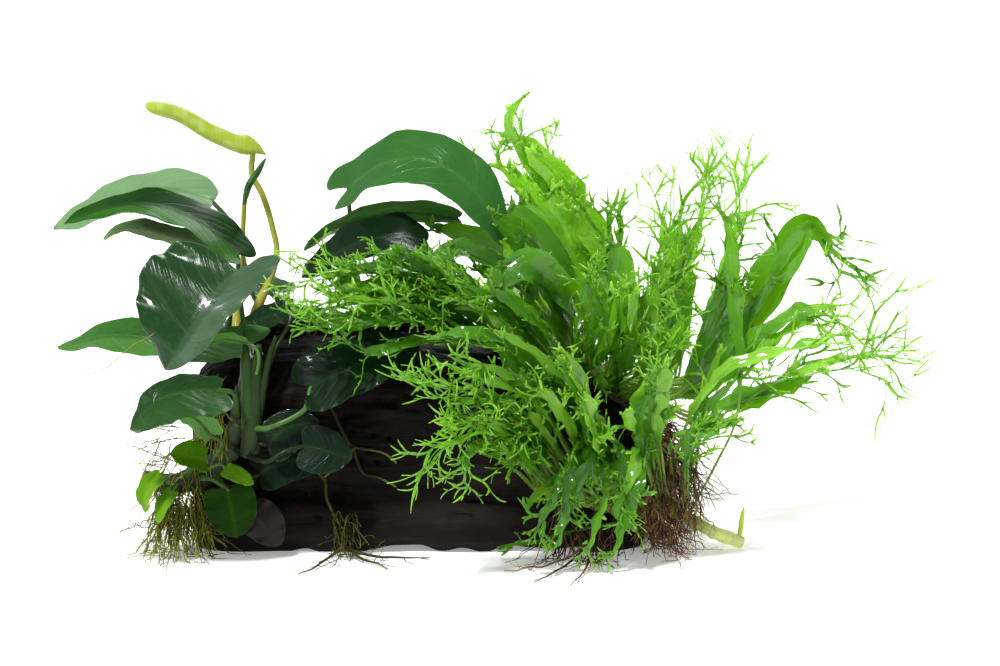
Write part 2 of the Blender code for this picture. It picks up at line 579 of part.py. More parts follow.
FERN_FRONDS = [
    frond(FERN_BACK, 0.40, [(93, 111, 40), (88, 136, 42), (77.5, 166, 40), (64, 188, 36), (51, 202, 32),
                            (45, 209, 30)], 8.5, 24, levels=2, opening=42, seed=3),
    frond(FERN_BACK, 0.62, [(90, 111, 54), (84, 141, 60), (70, 168, 62), (55, 182, 60), (47, 189, 58)],
          8, 14, seed=5, rows=SHORT_ROWS),
    frond(FERN_BACK, 0.22, [(97, 118, 34), (92, 146, 28), (85, 166, 26), (76, 178, 24)],
          7, 12, seed=7, rows=SHORT_ROWS),
    frond(FERN_TOP, 0.34, [(89, 103, -4), (91.5, 121, -2), (95, 138, 2), (97, 152, 6)], 9.5, 22, seed=11),
    frond(FERN_TOP, 0.22, [(108, 92, 0), (113, 114, 6), (118, 133, 10)],
          6, 32, levels=3, seed=13, rows=SHORT_ROWS),
    frond(FERN_BACK, 0.10, [(124, 86, 30), (125, 111, 34), (126, 136, 38), (128, 158, 38), (129, 166, 38)],
          8, 34, levels=3, opening=34, seed=17),
    frond(FERN_FRONT, 0.30, [(148, 44, -46), (158, 66, -38), (160, 91, -34), (158.5, 111, -30),
                             (157, 131, -28), (156.5, 148, -26), (153.5, 168, -26)],
          4.4, 22, stipe=0.42, seed=19),
    frond(FERN_TOP, 0.02, [(150, 90, 4), (168, 121, 8), (179, 143, 10), (188, 157, 8), (196, 162, 4),
                           (204, 155, 0)], 10, 36, (-0.2, -0.9, 0.4), levels=3, opening=18, seed=31),
    frond(FERN_TOP, 0.10, [(146, 87, -22), (161, 101, -26), (174, 112, -28), (188, 119, -30),
                           (200, 120, -32), (209, 115, -32)], 5, 32, LEVEL, levels=3, seed=29),
    frond(FERN_FRONT, 0.40, [(140, 72, -60), (161, 93, -58), (175, 98.5, -58), (190, 103, -58),
                             (203, 106, -58)], 3.6, 44, LEVEL, levels=3, opening=20, seed=31),
    frond(FERN_BACK, 0.0, [(142, 66, 18), (162, 77, 22), (180, 83, 24), (197, 89, 26), (208, 91, 26)],
          6.5, 42, LEVEL, levels=3, opening=30, seed=37),
    frond(FERN_TOP, 0.21, [(128, 82, -14), (142, 102, -16), (150, 126, -14), (153, 142, -12)],
          6.5, 24, seed=43, rows=SHORT_ROWS),
    frond(FERN_TOP, 0.55, [(72, 108, -14), (64, 136, -16), (50, 158, -22), (38, 168, -26)],
          6.5, 10, seed=47, rows=SHORT_ROWS),
    frond(FERN_TOP, 0.66, [(72, 106, -24), (58, 128, -28), (40, 143, -36), (20, 151, -40), (4, 146, -42)],
          6, 14, LEVEL, seed=53, rows=SHORT_ROWS),
    frond(FERN_TOP, 0.42, [(80, 100, -26), (72, 121, -38), (64, 137, -46), (52, 142, -52), (41, 137, -56)],
          6.5, 9, LEVEL, seed=59, rows=SHORT_ROWS),
    frond(FERN_TOP, 0.60, [(66, 94, -36), (50, 112, -50), (33, 125, -62), (19, 131, -66)],
          5.5, 20, OVER, seed=61, rows=SHORT_ROWS),
    frond(FERN_FRONT, 0.66, [(78, 66, -70), (62, 88, -80), (44, 104, -86), (28, 108, -88), (17, 105, -88)],
          5, 16, OVER, seed=67),
    frond(FERN_FRONT, 0.76, [(70, 58, -72), (58, 76, -86), (38, 86, -97), (20, 89, -102)],
          4.6, 22, OVER, seed=71, rows=SHORT_ROWS),
    frond(FERN_FRONT, 0.84, [(64, 52, -74), (50, 66, -92), (34, 74, -104), (16, 76, -108)],
          4.6, 32, OVER, seed=73, rows=SHORT_ROWS),
    frond(FERN_FRONT, 0.92, [(60, 46, -74), (46, 58, -94), (32, 60, -108), (20, 56, -112)],
          4, 30, OVER, seed=79, rows=SHORT_ROWS),
    frond(FERN_FRONT, 0.58, [(86, 50, -70), (80, 46, -84), (75, 30, -92), (73.5, 16, -92)],
          4.4, 14, OUTWARD, opening=34, seed=89, rows=SHORT_ROWS),
    frond(FERN_FRONT, 0.44, [(108, 48, -68), (103, 38, -80), (99, 24, -84), (100.5, 14, -84)],
          4, 13, OUTWARD, opening=30, seed=97, rows=SHORT_ROWS),
    frond(FERN_TOP, 0.84, [(28, 116, -36), (10, 130, -52), (-12, 138, -60), (-42, 141, -64)],
          4, 27, LEVEL, seed=101, rows=SHORT_ROWS),
    frond(FERN_TOP, 0.94, [(22, 110, -42), (4, 120, -60), (-18, 126, -70), (-40, 127, -74)],
          4.4, 27, LEVEL, seed=103, rows=SHORT_ROWS),
    frond(FERN_TOP, 0.76, [(34, 118, -30), (14, 135, -49), (-4, 147, -56), (-22, 150, -57)],
          5.4, 12, LEVEL, seed=107, rows=SHORT_ROWS),
]

SMALL_FRONDS = [
    small_frond(FERN_FRONT, 0.36, [(132, 55, -66), (144, 61, -68), (156, 64, -70)], 3, 12, LEVEL, seed=41),
    small_frond(FERN_FRONT, 1.0, [(50, 44, -76), (38, 52, -92), (27, 54, -104), (22.5, 40, -108)],
                2.6, 18, OVER, seed=83),
    small_frond(FERN_FRONT, 0.70, [(76, 34, -66), (66, 34, -76), (54, 24, -80)], 4.5, 6, LEVEL, seed=109),
    small_frond(FERN_FRONT, 0.50, [(94, 50, -66), (88, 66, -78), (80, 76, -84)], 4.5, 16, seed=113),
    small_frond(FERN_FRONT, 0.62, [(86, 62, -84), (80, 84, -98), (72, 98, -104)], 4, 14, OVER, seed=139),
    small_frond(FERN_FRONT, 0.41, [(114, 62, -78), (118, 80, -90), (118, 94, -94)], 4, 14, OVER, seed=149),
    small_frond(FERN_TOP, 0.30, [(96, 88, -30), (100, 98, -44), (108, 100, -52)], 5, 14, OVER, seed=127),
    small_frond(FERN_TOP, 0.50, [(74, 84, -34), (70, 92, -50), (64, 92, -60)], 5, 14, OVER, seed=131),
    small_frond(FERN_TOP, 0.26, [(102, 98, -40), (106, 118, -60), (106, 134, -68)],
                4.5, 14, OVER, seed=151),
    small_frond(FERN_TOP, 0.46, [(84, 100, -48), (88, 118, -64), (86, 134, -72)], 4.5, 14, OVER, seed=157),
    small_frond(FERN_TOP, 0.14, [(118, 88, -42), (126, 104, -56), (132, 118, -62)],
                4.5, 16, OVER, seed=163),
    small_frond(FERN_BACK, 0.50, [(76, 104, 66), (60, 112, 84), (50, 100, 98)], 6, 18, BEHIND, seed=137),
    small_frond(FERN_BACK, 0.16, [(118, 98, 60), (124, 124, 70), (128, 146, 74)], 5, 16, seed=167),
    small_frond(FERN_BACK, 0.32, [(102, 102, 66), (102, 126, 78), (96, 148, 82)], 5, 16, seed=173),
    small_frond(FERN_BACK, 0.78, [(66, 104, 66), (50, 126, 72), (34, 144, 74)], 5, 16, seed=179),
    small_frond(FERN_BACK, 0.04, [(138, 78, 56), (152, 92, 68), (164, 98, 76)], 5, 16, LEVEL, seed=181),
    small_frond(FERN_BACK, 0.34, [(102, 84, 78), (110, 82, 94), (116, 66, 102)], 5, 12, BEHIND, seed=191),
    small_frond(FERN_BACK, 0.72, [(66, 86, 80), (58, 82, 96), (50, 66, 102)], 5, 12, BEHIND, seed=193),
]


LANCE_START, LANCE_SPAN, LANCE_POWER = 0.06, 0.80, 0.8
FROND_RISE = 0.12


def frond_half_width(s):
    """Lance outline: narrow at the stalk, widest past the middle, and half as wide where the tip forks."""
    return np.sin(math.pi * (LANCE_START + LANCE_SPAN * s)) ** LANCE_POWER


def frond_solid(record, gap=GAP):
    """Vertices and faces of one frond: stalk, blade and forked tip."""
    points = [seen(*p) for p in record.path]
    foot, out = leave(record.host, record.along, points[0], gap)
    path = smooth([foot, foot + out * 4, *points], record.rows)
    tangent, side, normal = frames(path, record.face, 2 * record.rows // 3)
    s = np.linspace(0, 1, record.rows)
    blade = s > record.stipe
    on_blade = np.clip((s - record.stipe) / (1 - record.stipe), 0, 1)
    stipe_side = STIPE_RADIUS * SIX_SIDED
    half = np.where(blade, np.maximum(record.half_width * frond_half_width(on_blade), stipe_side), stipe_side)
    margin = np.where(blade, FERN_MARGIN, STIPE_RADIUS)
    midrib = np.where(blade, FERN_MIDRIB, 2 * STIPE_RADIUS)
    rise = np.where(blade, FROND_RISE, 0.0)
    midrib[-1], rise[-1] = FERN_MARGIN, 0.0
    rows = three_point_rows(path, side, normal, half, half, rise, margin, midrib)
    vertices = list(rows.reshape(-1, 3))
    faces = strip_faces(record.rows)
    strips = fork_tree(record.seed, record.reach, record.levels, half[-1], record.opening)
    frame = (path[-1], tangent[-1], side[-1], normal[-1])
    add_forks(vertices, faces, (record.rows - 1) * 6, frame, strips)
    return np.array(vertices), faces


# Root masses and single roots.

ROOT_SIDES = 4
Root = namedtuple("Root", "points start_radius end_radius rows")
FLOOR_ROOT = 1.0
FLOOR_ROOTS = [
    Root([(-36, -54, 5), (-44, -66, 2.4), (-50, -80, 1.4), (-56, -92, 1.2)], 1.6, FLOOR_ROOT, 4),
    Root([(-34, -54, 5), (-28, -64, 2.4), (-20, -70, 1.4), (-14, -80, 1.2)], 1.6, FLOOR_ROOT, 4),
    Root([(-34, -54, 4), (-22, -59, 2.2), (-8, -60, 1.4), (6, -59, 1.2)], 1.6, FLOOR_ROOT, 4),
]
ACROSS_ROOT = (1.2, 0.8, 5)
ACROSS_ROOTS = [
    [(-46, 79), (-35, 57), (-30, 53), (-17, 51), (-11, 46)],
    [(-32, 54), (-27, 41), (-20, 39), (-11, 34)],
    [(-60, 49), (-47, -47.5, 40), (-44, -50, 27), (-37, -53, 14)],
    [(-30, 53), (-38, 46), (-46.5, -48, 38)],
]
FERN_FLOOR_ROOTS = [
    Root([(84, -62, 10), (74, -70, 5), (60, -78, 2), (42, -86, 1.3)], 2.0, FLOOR_ROOT, 4),
    Root([(82, -64, 8), (74, -78, 4), (66, -90, 2), (56, -108, 1.3)], 2.0, FLOOR_ROOT, 4),
    Root([(84, -64, 8), (82, -80, 3), (78, -96, 1.4), (73, -112, 1.3)], 2.0, FLOOR_ROOT, 4),
]


def root_solid(root):
    path = smooth(root.points, root.rows)
    return tube(path, np.linspace(root.start_radius, root.end_radius, root.rows), ROOT_SIDES)


def across_root_solid(points):
    """A root that clings to the log's front. A point is X and height on the log, or X, Y and Z off it."""
    placed = [point if len(point) == 3 else front_of_log(*point, 2.4) for point in points]
    return root_solid(Root(placed, *ACROSS_ROOT))


Tuft = namedtuple("Tuft", "levels columns")
NOTCH_AT_TOP, NOTCH_BELOW = 0.04, 0.20
LEFT_TUFT = Tuft(
    [(31, -128, -112, -58, -48), (24, -134, -109, -62, -46), (12, -136, -107, -63, -46),
     (0.3, -137, -104, -66, -46)], 12
)
RIGHT_TUFT = Tuft(
    [(66, 112.5, 116, -26, -8), (54, 112.5, 124, -36, 4), (32, 113, 130, -36, 8), (14, 114, 137, -32, 8),
     (0.3, 115, 142, -30, 10)], 12
)
FRONT_TUFT = Tuft(
    [(22, -42, -32, -54, -50), (14, -43, -29, -57, -50.5), (4, -42, -27, -58, -51)], 8
)


def tuft_solid(tuft):
    """A hanging mass of roots as one body: ovals from the top down, notched more and more into strands."""
    vertices, faces = [], []
    rows, columns = len(tuft.levels), tuft.columns
    for row, (z, left, right, front, back) in enumerate(tuft.levels):
        notch = NOTCH_AT_TOP + (NOTCH_BELOW - NOTCH_AT_TOP) * row / (rows - 1)
        for k in range(columns):
            turn = 2 * math.pi * k / columns
            reach = 1 - notch + notch * (1 if k % 2 else -1)
            x = (left + right) / 2 + math.cos(turn) * (right - left) / 2 * reach
            y = (front + back) / 2 + math.sin(turn) * (back - front) / 2 * reach
            vertices.append((x, y, z))
    for row in range(rows - 1):
        for k in range(columns):
            a, b = row * columns + k, row * columns + (k + 1) % columns
            faces.append((a, a + columns, b + columns, b))
    faces.append(tuple(range(columns)))
    faces.append(tuple(range((rows - 1) * columns, rows * columns))[::-1])
    return np.array(vertices), faces


def add_fused(name, core, shoots, colour, roughness):
    """A core solid with its small shoots joined on by a Boolean union."""
    body = add_object(name, *core, colour, roughness)
    if not shoots:
        return body
    helpers = bpy.data.collections.new(name + "_shoots")
    bpy.context.scene.collection.children.link(helpers)
    for number, shoot in enumerate(shoots):
        made = add_object(f"{name}_shoot_{number}", *shoot, colour, roughness)
        bpy.context.scene.collection.objects.unlink(made)
        helpers.objects.link(made)
        made.hide_render = True
        made.display_type = "WIRE"
    join = body.modifiers.new("join_shoots", "BOOLEAN")
    join.operation = "UNION"
    join.solver = "EXACT"
    join.operand_type = "COLLECTION"
    join.collection = helpers
    return body


# The young shoot that stands up from the cut end of the fern's front rhizome.
PALE_SHOOT = [(158.0, -34.0, 4.0), (159.5, -34.0, 10.0), (160.5, -34.0, 20.0)]
PALE_SHOOT_RADII = (0.9, 1.2, 0.3)
INSIDE = -1.5


def main():
    for old in list(bpy.data.objects):
        bpy.data.objects.remove(old)
    add_log()
    for name in RHIZOMES:
        shoots = [frond_solid(record, INSIDE) for record in SMALL_FRONDS if record.host == name]
        if name == ANUBIAS_FRONT:
            shoots = [leaf_solid(record, INSIDE) for record in ANUBIAS_SHOOTS]
        if name == FERN_FRONT:
            shoots.append(tube(smooth(PALE_SHOOT, len(PALE_SHOOT_RADII)), PALE_SHOOT_RADII, ROOT_SIDES))
        path, radii = rhizome_line(name)
        add_fused(name, tube(path, radii, RHIZOME_SIDES), shoots, GREEN_STEM, 0.5)
    for name, record in ANUBIAS_LEAVES.items():
        colour = GREEN_YOUNG if "pale" in name or "young" in name else GREEN_DARK
        add_object(name, *leaf_solid(record), colour, 0.3)
    for number, record in enumerate(FERN_FRONDS, 1):
        add_object(f"fern_frond_{number:02d}", *frond_solid(record), GREEN_FERN, 0.45)
    add_object("anubias_roots_left", *tuft_solid(LEFT_TUFT), ROOT_OLIVE, 0.7)
    add_object("fern_roots_right", *tuft_solid(RIGHT_TUFT), ROOT_BROWN, 0.8)
    strands = [root_solid(root) for root in FLOOR_ROOTS]
    strands += [across_root_solid(points) for points in ACROSS_ROOTS]
    add_fused("anubias_roots_front", tuft_solid(FRONT_TUFT), strands, ROOT_OLIVE, 0.7)
    first, *others = [root_solid(root) for root in FERN_FLOOR_ROOTS]
    add_fused("fern_roots_front", first, others, ROOT_BROWN, 0.8)


main()
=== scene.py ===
"""The looks of a lace java fern and an anubias grown onto a driftwood log.

Sizes are millimetres until a mesh is made. +X runs to the right along the log, +Y to the back and +Z up.
Leaves, fronds and roots are laid out on a front sheet, a full-size front view that looks down a little, with each
point's depth behind the log's middle beside it. seen() turns such points into real X, Y and Z.
Every new piece is a closed skin: rings of points carried along a path, worked out as whole arrays.
"""
import math
from collections import namedtuple

import bpy
import numpy as np
from mathutils import Matrix


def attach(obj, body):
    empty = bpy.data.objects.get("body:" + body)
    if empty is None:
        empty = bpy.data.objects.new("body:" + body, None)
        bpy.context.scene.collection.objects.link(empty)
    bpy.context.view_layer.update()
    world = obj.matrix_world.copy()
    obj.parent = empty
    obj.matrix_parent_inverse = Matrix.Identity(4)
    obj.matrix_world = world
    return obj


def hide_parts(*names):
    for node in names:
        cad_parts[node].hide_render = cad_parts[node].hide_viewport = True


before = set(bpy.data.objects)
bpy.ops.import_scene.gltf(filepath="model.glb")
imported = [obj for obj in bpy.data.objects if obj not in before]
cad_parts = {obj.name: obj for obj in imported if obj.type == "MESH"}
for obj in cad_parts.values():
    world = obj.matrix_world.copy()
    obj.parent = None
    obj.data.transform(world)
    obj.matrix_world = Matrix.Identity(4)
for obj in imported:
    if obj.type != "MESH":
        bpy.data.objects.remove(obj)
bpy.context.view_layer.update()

MM = 0.001
TURN = 2 * math.pi

# The front sheet: how far the eye is, how much it looks down, and the point in the middle of the sheet.
SHEET_DISTANCE, SHEET_TILT = 1600.0, math.radians(10)
SHEET_AIM, SHEET_AIM_UP = np.array([40.0, 0.0, 102.0]), 109.5

# The log: its ends, half depth, top line, flat underside and roundness.
LOG_LEFT, LOG_RIGHT, LOG_HALF_DEPTH = -111.0, 111.0, 44.0
LOG_TOP = np.array([(-111, 86), (-92, 98), (-70, 104), (-40, 103), (0, 103), (40, 97), (75, 85), (111, 63)], float)
LOG_CUT = np.array([(-111, 7), (-60, 7), (-15, 4), (20, 4), (60, 7), (90, 7), (111, 4)], float)
ROUNDNESS_ABOVE, ROUNDNESS_BELOW = 2.8, 8.0


# Points, curves and noise.


def seen(points):
    """Real points for front sheet points (across, up, back): the line of sight is followed to the depth back."""
    across, up, back = np.moveaxis(np.asarray(points, float), -1, 0)
    cosine, sine = math.cos(SHEET_TILT), math.sin(SHEET_TILT)
    rise = up - SHEET_AIM_UP
    height = (rise * (SHEET_DISTANCE + back * cosine) - SHEET_DISTANCE * back * sine) / (
        SHEET_DISTANCE * cosine + rise * sine
    )
    depth = SHEET_DISTANCE + back * cosine - height * sine
    x = SHEET_AIM[0] + (across - SHEET_AIM[0]) * depth / SHEET_DISTANCE
    return np.stack([x, back, SHEET_AIM[2] + height], axis=-1)


def unit(vectors):
    """Each vector divided by its length."""
    return vectors / np.maximum(np.linalg.norm(vectors, axis=-1, keepdims=True), 1e-9)


def dot(a, b):
    """The scalar product of vectors, with the last axis kept."""
    return (a * b).sum(-1, keepdims=True)


def smooth(points, count):
    """count points evenly along cubic pieces; the slope at a knot is half the step between its neighbours."""
    knots = np.array(points, float)
    padded = np.vstack([2 * knots[0] - knots[1], knots, 2 * knots[-1] - knots[-2]])
    q = np.linspace(0, 1, 17)[:, None, None]
    before, start, end, after = padded[:-3], padded[1:-2], padded[2:-1], padded[3:]
    curve = start * (2 * q**3 - 3 * q**2 + 1) + (end - before) / 2 * (q**3 - 2 * q**2 + q)
    curve = curve + end * (3 * q**2 - 2 * q**3) + (after - start) / 2 * (q**3 - q**2)
    curve = curve.transpose(1, 0, 2).reshape(-1, knots.shape[1])
    reach = np.concatenate([[0], np.cumsum(np.linalg.norm(np.diff(curve, axis=0), axis=1))])
    return read_along(curve, np.linspace(0, reach[-1], count), reach)


def read_along(rows, place, scale=None):
    """Rows read at fractional places, straight between neighbours. scale gives each row's place, or 0 to 1."""
    scale = np.linspace(0, 1, len(rows)) if scale is None else scale
    return np.stack([np.interp(place, scale, rows[:, axis]) for axis in range(rows.shape[1])], axis=-1)


def frames(path, face, middle):
    """Tangent, side and upper normal for a batch of paths (count, rows, 3).

    The normal at the middle row is the part of face square to the path, and is carried from row to row by the
    shortest turn between tangents, so a blade never twists by itself.
    """
    tangent = unit(np.gradient(path, axis=1))
    normal = np.zeros_like(path)
    here = tangent[:, middle]
    wish = unit(np.broadcast_to(np.asarray(face, float), here.shape))
    normal[:, middle] = unit(wish - dot(wish, here) * here)
    rows = path.shape[1]
    for old, new in [(r, r + 1) for r in range(middle, rows - 1)] + [(r, r - 1) for r in range(middle, 0, -1)]:
        start, end, up = tangent[:, old], tangent[:, new], normal[:, old]
        axis = np.cross(start, end)
        up = up + np.cross(axis, up) + np.cross(axis, np.cross(axis, up)) / (1 + dot(start, end) + 1e-6)
        normal[:, new] = unit(up - dot(up, end) * end)
    return tangent, np.cross(tangent, normal), normal


def noise(points, seed):
    """Smooth random values from 0 to 1: a random value at each whole-number corner, blended across its cell."""
    base = np.floor(points).astype(np.int64)
    part = points - base
    part = part * part * (3 - 2 * part)
    table = np.random.RandomState(seed).rand(4096)
    primes = np.array([73856093, 19349663, 83492791])
    total = 0.0
    for corner in np.ndindex(2, 2, 2):
        key = ((base + corner) * primes).sum(-1) & 4095
        total = total + table[key] * np.prod(np.where(corner, part, 1 - part), axis=-1)
    return total


# Skins and pieces.

Skin = namedtuple("Skin", "points corners counts values finish")

# An edge that bends by more than this stays sharp.
SHARP_ANGLE = math.radians(100)


def skins(rings, finish=0, **values):
    """Closed skins from rings of points (count, rows, columns, 3), each end closed by a point amid its ring.

    A skin whose signed volume comes out negative has its faces turned round, so that all of them face outwards.
    """
    rings = np.asarray(rings, float)
    count, rows, columns = rings.shape[:3]
    wide, after = np.arange(columns), np.roll(np.arange(columns), -1)
    low = np.arange(rows - 1)[:, None] * columns
    body = np.stack([low + wide, low + after, low + columns + after, low + columns + wide], axis=-1).reshape(-1, 4)
    start, end, last = rows * columns, rows * columns + 1, (rows - 1) * columns
    first_cap = np.stack([after, wide, wide * 0 + start, wide * 0 + start], axis=-1)
    last_cap = np.stack([last + wide, last + after, wide * 0 + end, wide * 0 + end], axis=-1)
    pattern = np.vstack([body, first_cap, last_cap])
    points = np.concatenate([rings.reshape(count, -1, 3), rings[:, :1].mean(2), rings[:, -1:].mean(2)], axis=1)
    a, b, c, d = (points[:, pattern[:, k]] - points.mean(1, keepdims=True) for k in range(4))
    volume = (dot(a, np.cross(b, c)) + dot(a, np.cross(c, d))).sum((1, 2))
    corners = np.where(volume[:, None, None] < 0, pattern[None, :, ::-1], pattern[None])
    corners = (corners + np.arange(count)[:, None, None] * points.shape[1]).reshape(-1, 4)
    keep = corners != np.roll(corners, 1, axis=1)
    spread = {}
    for name, value in values.items():
        full = np.broadcast_to(np.asarray(value, float), (count, rows, columns))
        ends = [full[:, :1].mean(2), full[:, -1:].mean(2)]
        spread[name] = np.concatenate([full.reshape(count, -1), *ends], axis=1).ravel()
    return Skin(points.reshape(-1, 3), corners[keep], keep.sum(1), spread, finish)


def add_piece(name, parts, finishes, nodes=()):
    """One mesh object from closed skins, which rides the root body and stands for the CAD nodes named."""
    offsets = np.cumsum([0] + [len(part.points) for part in parts])
    points = np.concatenate([part.points for part in parts]) * MM
    corners = np.concatenate([part.corners + offset for part, offset in zip(parts, offsets)])
    counts = np.concatenate([part.counts for part in parts])
    kinds = np.concatenate([np.full(len(part.counts), part.finish) for part in parts])
    mesh = bpy.data.meshes.new(name)
    mesh.vertices.add(len(points))
    mesh.vertices.foreach_set("co", points.ravel())
    mesh.loops.add(len(corners))
    mesh.loops.foreach_set("vertex_index", corners.astype(np.int32))
    mesh.polygons.add(len(counts))
    mesh.polygons.foreach_set("loop_start", (np.cumsum(counts) - counts).astype(np.int32))
    mesh.polygons.foreach_set("material_index", kinds.astype(np.int32))
    mesh.update(calc_edges=True)
    mesh.polygons.foreach_set("use_smooth", np.ones(len(counts), bool))
    mesh.set_sharp_from_angle(angle=SHARP_ANGLE)
    for value in sorted({key for part in parts for key in part.values}):
        full = [part.values.get(value, np.zeros(len(part.points))) for part in parts]
        mesh.attributes.new(value, "FLOAT", "POINT").data.foreach_set("value", np.concatenate(full).astype(np.float32))
    for finish in finishes:
        mesh.materials.append(finish)
    piece = bpy.data.objects.new(name, mesh)
    bpy.context.scene.collection.objects.link(piece)
    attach(piece, "root")
    if nodes:
        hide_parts(*nodes)
    return piece


# The way that the first ring of a tube faces.
TUBE_FACE = (0.12, -0.25, 0.96)


def tubes(path, radius, columns):
    """Rings round a batch of paths: the side times the cosine of the turn plus the normal times its sine, by radius."""
    _, side, normal = frames(path, TUBE_FACE, 0)
    turn = np.arange(columns) * TURN / columns
    around = side[..., None, :] * np.cos(turn)[:, None] + normal[..., None, :] * np.sin(turn)[:, None]
    return path[..., None, :] + around * np.asarray(radius, float)[..., None, None]


# The log.


def log_form(x, turn):
    """The log's skin as in the solid: a superellipse of cosine and sine, squarer below, with a groove along it.

    Returns real points for arrays of x and of the angle round the log, and the groove's depth there.
    """
    x, turn = np.broadcast_arrays(np.asarray(x, float), np.asarray(turn, float))
    top, cut = np.interp(x, *LOG_TOP.T), np.interp(x, *LOG_CUT.T)
    shrink = 1 - 0.22 * np.exp(-np.minimum(x - LOG_LEFT, LOG_RIGHT - x) / 9)
    half_height, half_depth = (top + cut) / 2 * (0.6 + 0.4 * shrink), LOG_HALF_DEPTH * shrink
    c, s = np.cos(turn), np.sin(turn)
    power = np.where(s > 0, ROUNDNESS_ABOVE, ROUNDNESS_BELOW)
    squareness = (np.abs(c) ** power + np.abs(s) ** power) ** (-1 / power)
    y, z = c * squareness * half_depth, (top - cut) / 2 + s * squareness * half_height
    groove = np.exp(-(((z - 27 + 0.07 * x) / 5.5) ** 2)) * np.where(c < 0, 5.5, 3.0)
    ledge = np.exp(-(((z - 12) / 9) ** 2)) * np.where(c < 0, 3.0, 1.0)
    shoulder = 2.5 * np.sin(0.05 * x + 1.3) * np.exp(-(((z - 72) / 16) ** 2))
    wave = 1.2 * np.sin(0.11 * x + 3 * turn)
    y = y + np.sign(c) * np.minimum(np.abs(c) * 3, 1) * (ledge - groove + shoulder + wave)
    return np.stack([x, y, np.maximum(z, 0.0)], axis=-1)


def on_log(x, degrees, lift):
    """A point at a height above the log's skin: 90 degrees is the top of the log and 180 its front."""
    turn, step = math.radians(degrees), math.radians(6)
    along = log_form(x + 4, turn) - log_form(x - 4, turn)
    round_it = log_form(x, turn + step) - log_form(x, turn - step)
    return log_form(x, turn) + unit(np.cross(round_it, along)) * lift


def front_of_log(x, height, lift):
    """A point in front of the log's skin at x and a height above the surface that the log lies on."""
    turns = np.radians(np.linspace(120, 240, 400))
    heights = log_form(x, turns)[:, 2]
    return on_log(x, math.degrees(turns[np.argmin(np.abs(heights - height))]), lift)


LOG_ROWS, LOG_COLUMNS, END_RINGS = 380, 220, 10


def log_rings():
    """The log's skin in full detail.

    Outwards from the plain form go: long ridges, noise drawn out twelve times along the log; cracks, the sharp
    valleys of such noise; steps, where the wood has split off in sheets; and small lumps. Each end is rings that
    shrink to a point, pushed in and out by noise along the splinters. The underside is worn away in places.
    """
    x = np.linspace(LOG_LEFT, LOG_RIGHT, LOG_ROWS)[:, None]
    turn = (np.arange(LOG_COLUMNS) + 0.5) * TURN / LOG_COLUMNS
    plain = log_form(x, turn[None])
    centre = np.stack([x[:, 0], 0 * x[:, 0], np.interp(x[:, 0], *LOG_TOP.T) / 2], axis=-1)[:, None]
    out = plain - centre
    out[..., 0] = 0
    out = unit(out)
    ridges = noise(plain / (60, 5.5, 5.5), 3) - 0.5
    fine = noise(plain / (22, 1.9, 1.9), 5) - 0.5
    crack = np.abs(noise(plain / (75, 7, 7) + 9, 7) - 0.5)
    deep = np.exp(-((crack / 0.035) ** 2)) * noise(plain / 25.0, 11)
    sheet = np.tanh((noise(plain / (48, 10, 10) + 4, 13) - 0.5) * 14)
    lumps = noise(plain / 7.0, 17) - 0.5
    relief = 2.6 * ridges + 0.9 * fine - 3.4 * deep + 0.8 * sheet + 0.9 * lumps - 0.5
    fade = np.clip(plain[..., 2] / 6, 0, 1)
    body = plain + out * (relief * fade)[..., None]
    shares = (1 - (np.arange(1, END_RINGS + 1) / (END_RINGS + 1)) ** 1.15)[:, None, None]
    caps = []
    for row, way in ((0, -1.0), (-1, 1.0)):
        middle = body[row].mean(0)
        cap = middle + (body[row] - middle) * shares
        push = 5.0 * (noise(cap / (9, 9, 3.2), 19) - 0.35) * (1 - shares[..., 0]) + 1.5 * (noise(cap / 2.2, 23) - 0.5)
        cap[..., 0] += way * push
        caps.append(cap)
    rings = np.concatenate([caps[0][::-1], body, caps[1]])
    worn = 7.0 * np.clip(noise(rings * (1, 0.5, 0) / 11.0, 29) - 0.42, 0, 0.4) * np.clip(1 - rings[..., 2] / 9, 0, 1)
    rings[..., 2] = np.maximum(rings[..., 2] + worn, 0.0)
    return rings[None]


# Rhizomes.

Rhizome = namedtuple("Rhizome", "points radii")
RHIZOME_ROWS = 9
ANUBIAS_FRONT, ANUBIAS_TOP = "anubias_rhizome_front", "anubias_rhizome_top"
FERN_FRONT, FERN_TOP, FERN_BACK = "fern_rhizome_front", "fern_rhizome_top", "fern_rhizome_back"
RHIZOMES = {
    ANUBIAS_FRONT: Rhizome(
        [(-134, -50, 40), (-119, -52, 37), on_log(-104, 178, 7), on_log(-92, 174, 6.5), on_log(-87, 160, 6.5),
         on_log(-83, 145, 7)],
        [3.0, 4.6, 5.0, 5.4, 5.0, 5.8],
    ),
    ANUBIAS_TOP: Rhizome(
        [on_log(-92, 102, 4), on_log(-70, 94, 4.8), on_log(-40, 86, 4.8), on_log(-8, 83, 4.4), on_log(18, 83, 3.4)],
        [2.6, 4.2, 4.0, 3.8, 2.4],
    ),
    FERN_FRONT: Rhizome(
        [(160, -34, 3.4), (142, -40, 11), (126, -48, 22), on_log(104, 192, 7), on_log(80, 190, 6.2),
         on_log(56, 188, 5)],
        [2.6, 2.8, 2.8, 2.6, 2.4, 1.8],
    ),
    FERN_TOP: Rhizome(
        [on_log(106, 104, 3.5), on_log(90, 102, 3.8), on_log(66, 100, 3.8), on_log(40, 98, 3)],
        [2.0, 2.6, 2.6, 1.8],
    ),
    FERN_BACK: Rhizome(
        [on_log(106, 52, 3.5), on_log(90, 50, 3.8), on_log(64, 50, 3.8), on_log(38, 50, 3)],
        [2.0, 2.6, 2.6, 1.8],
    ),
}


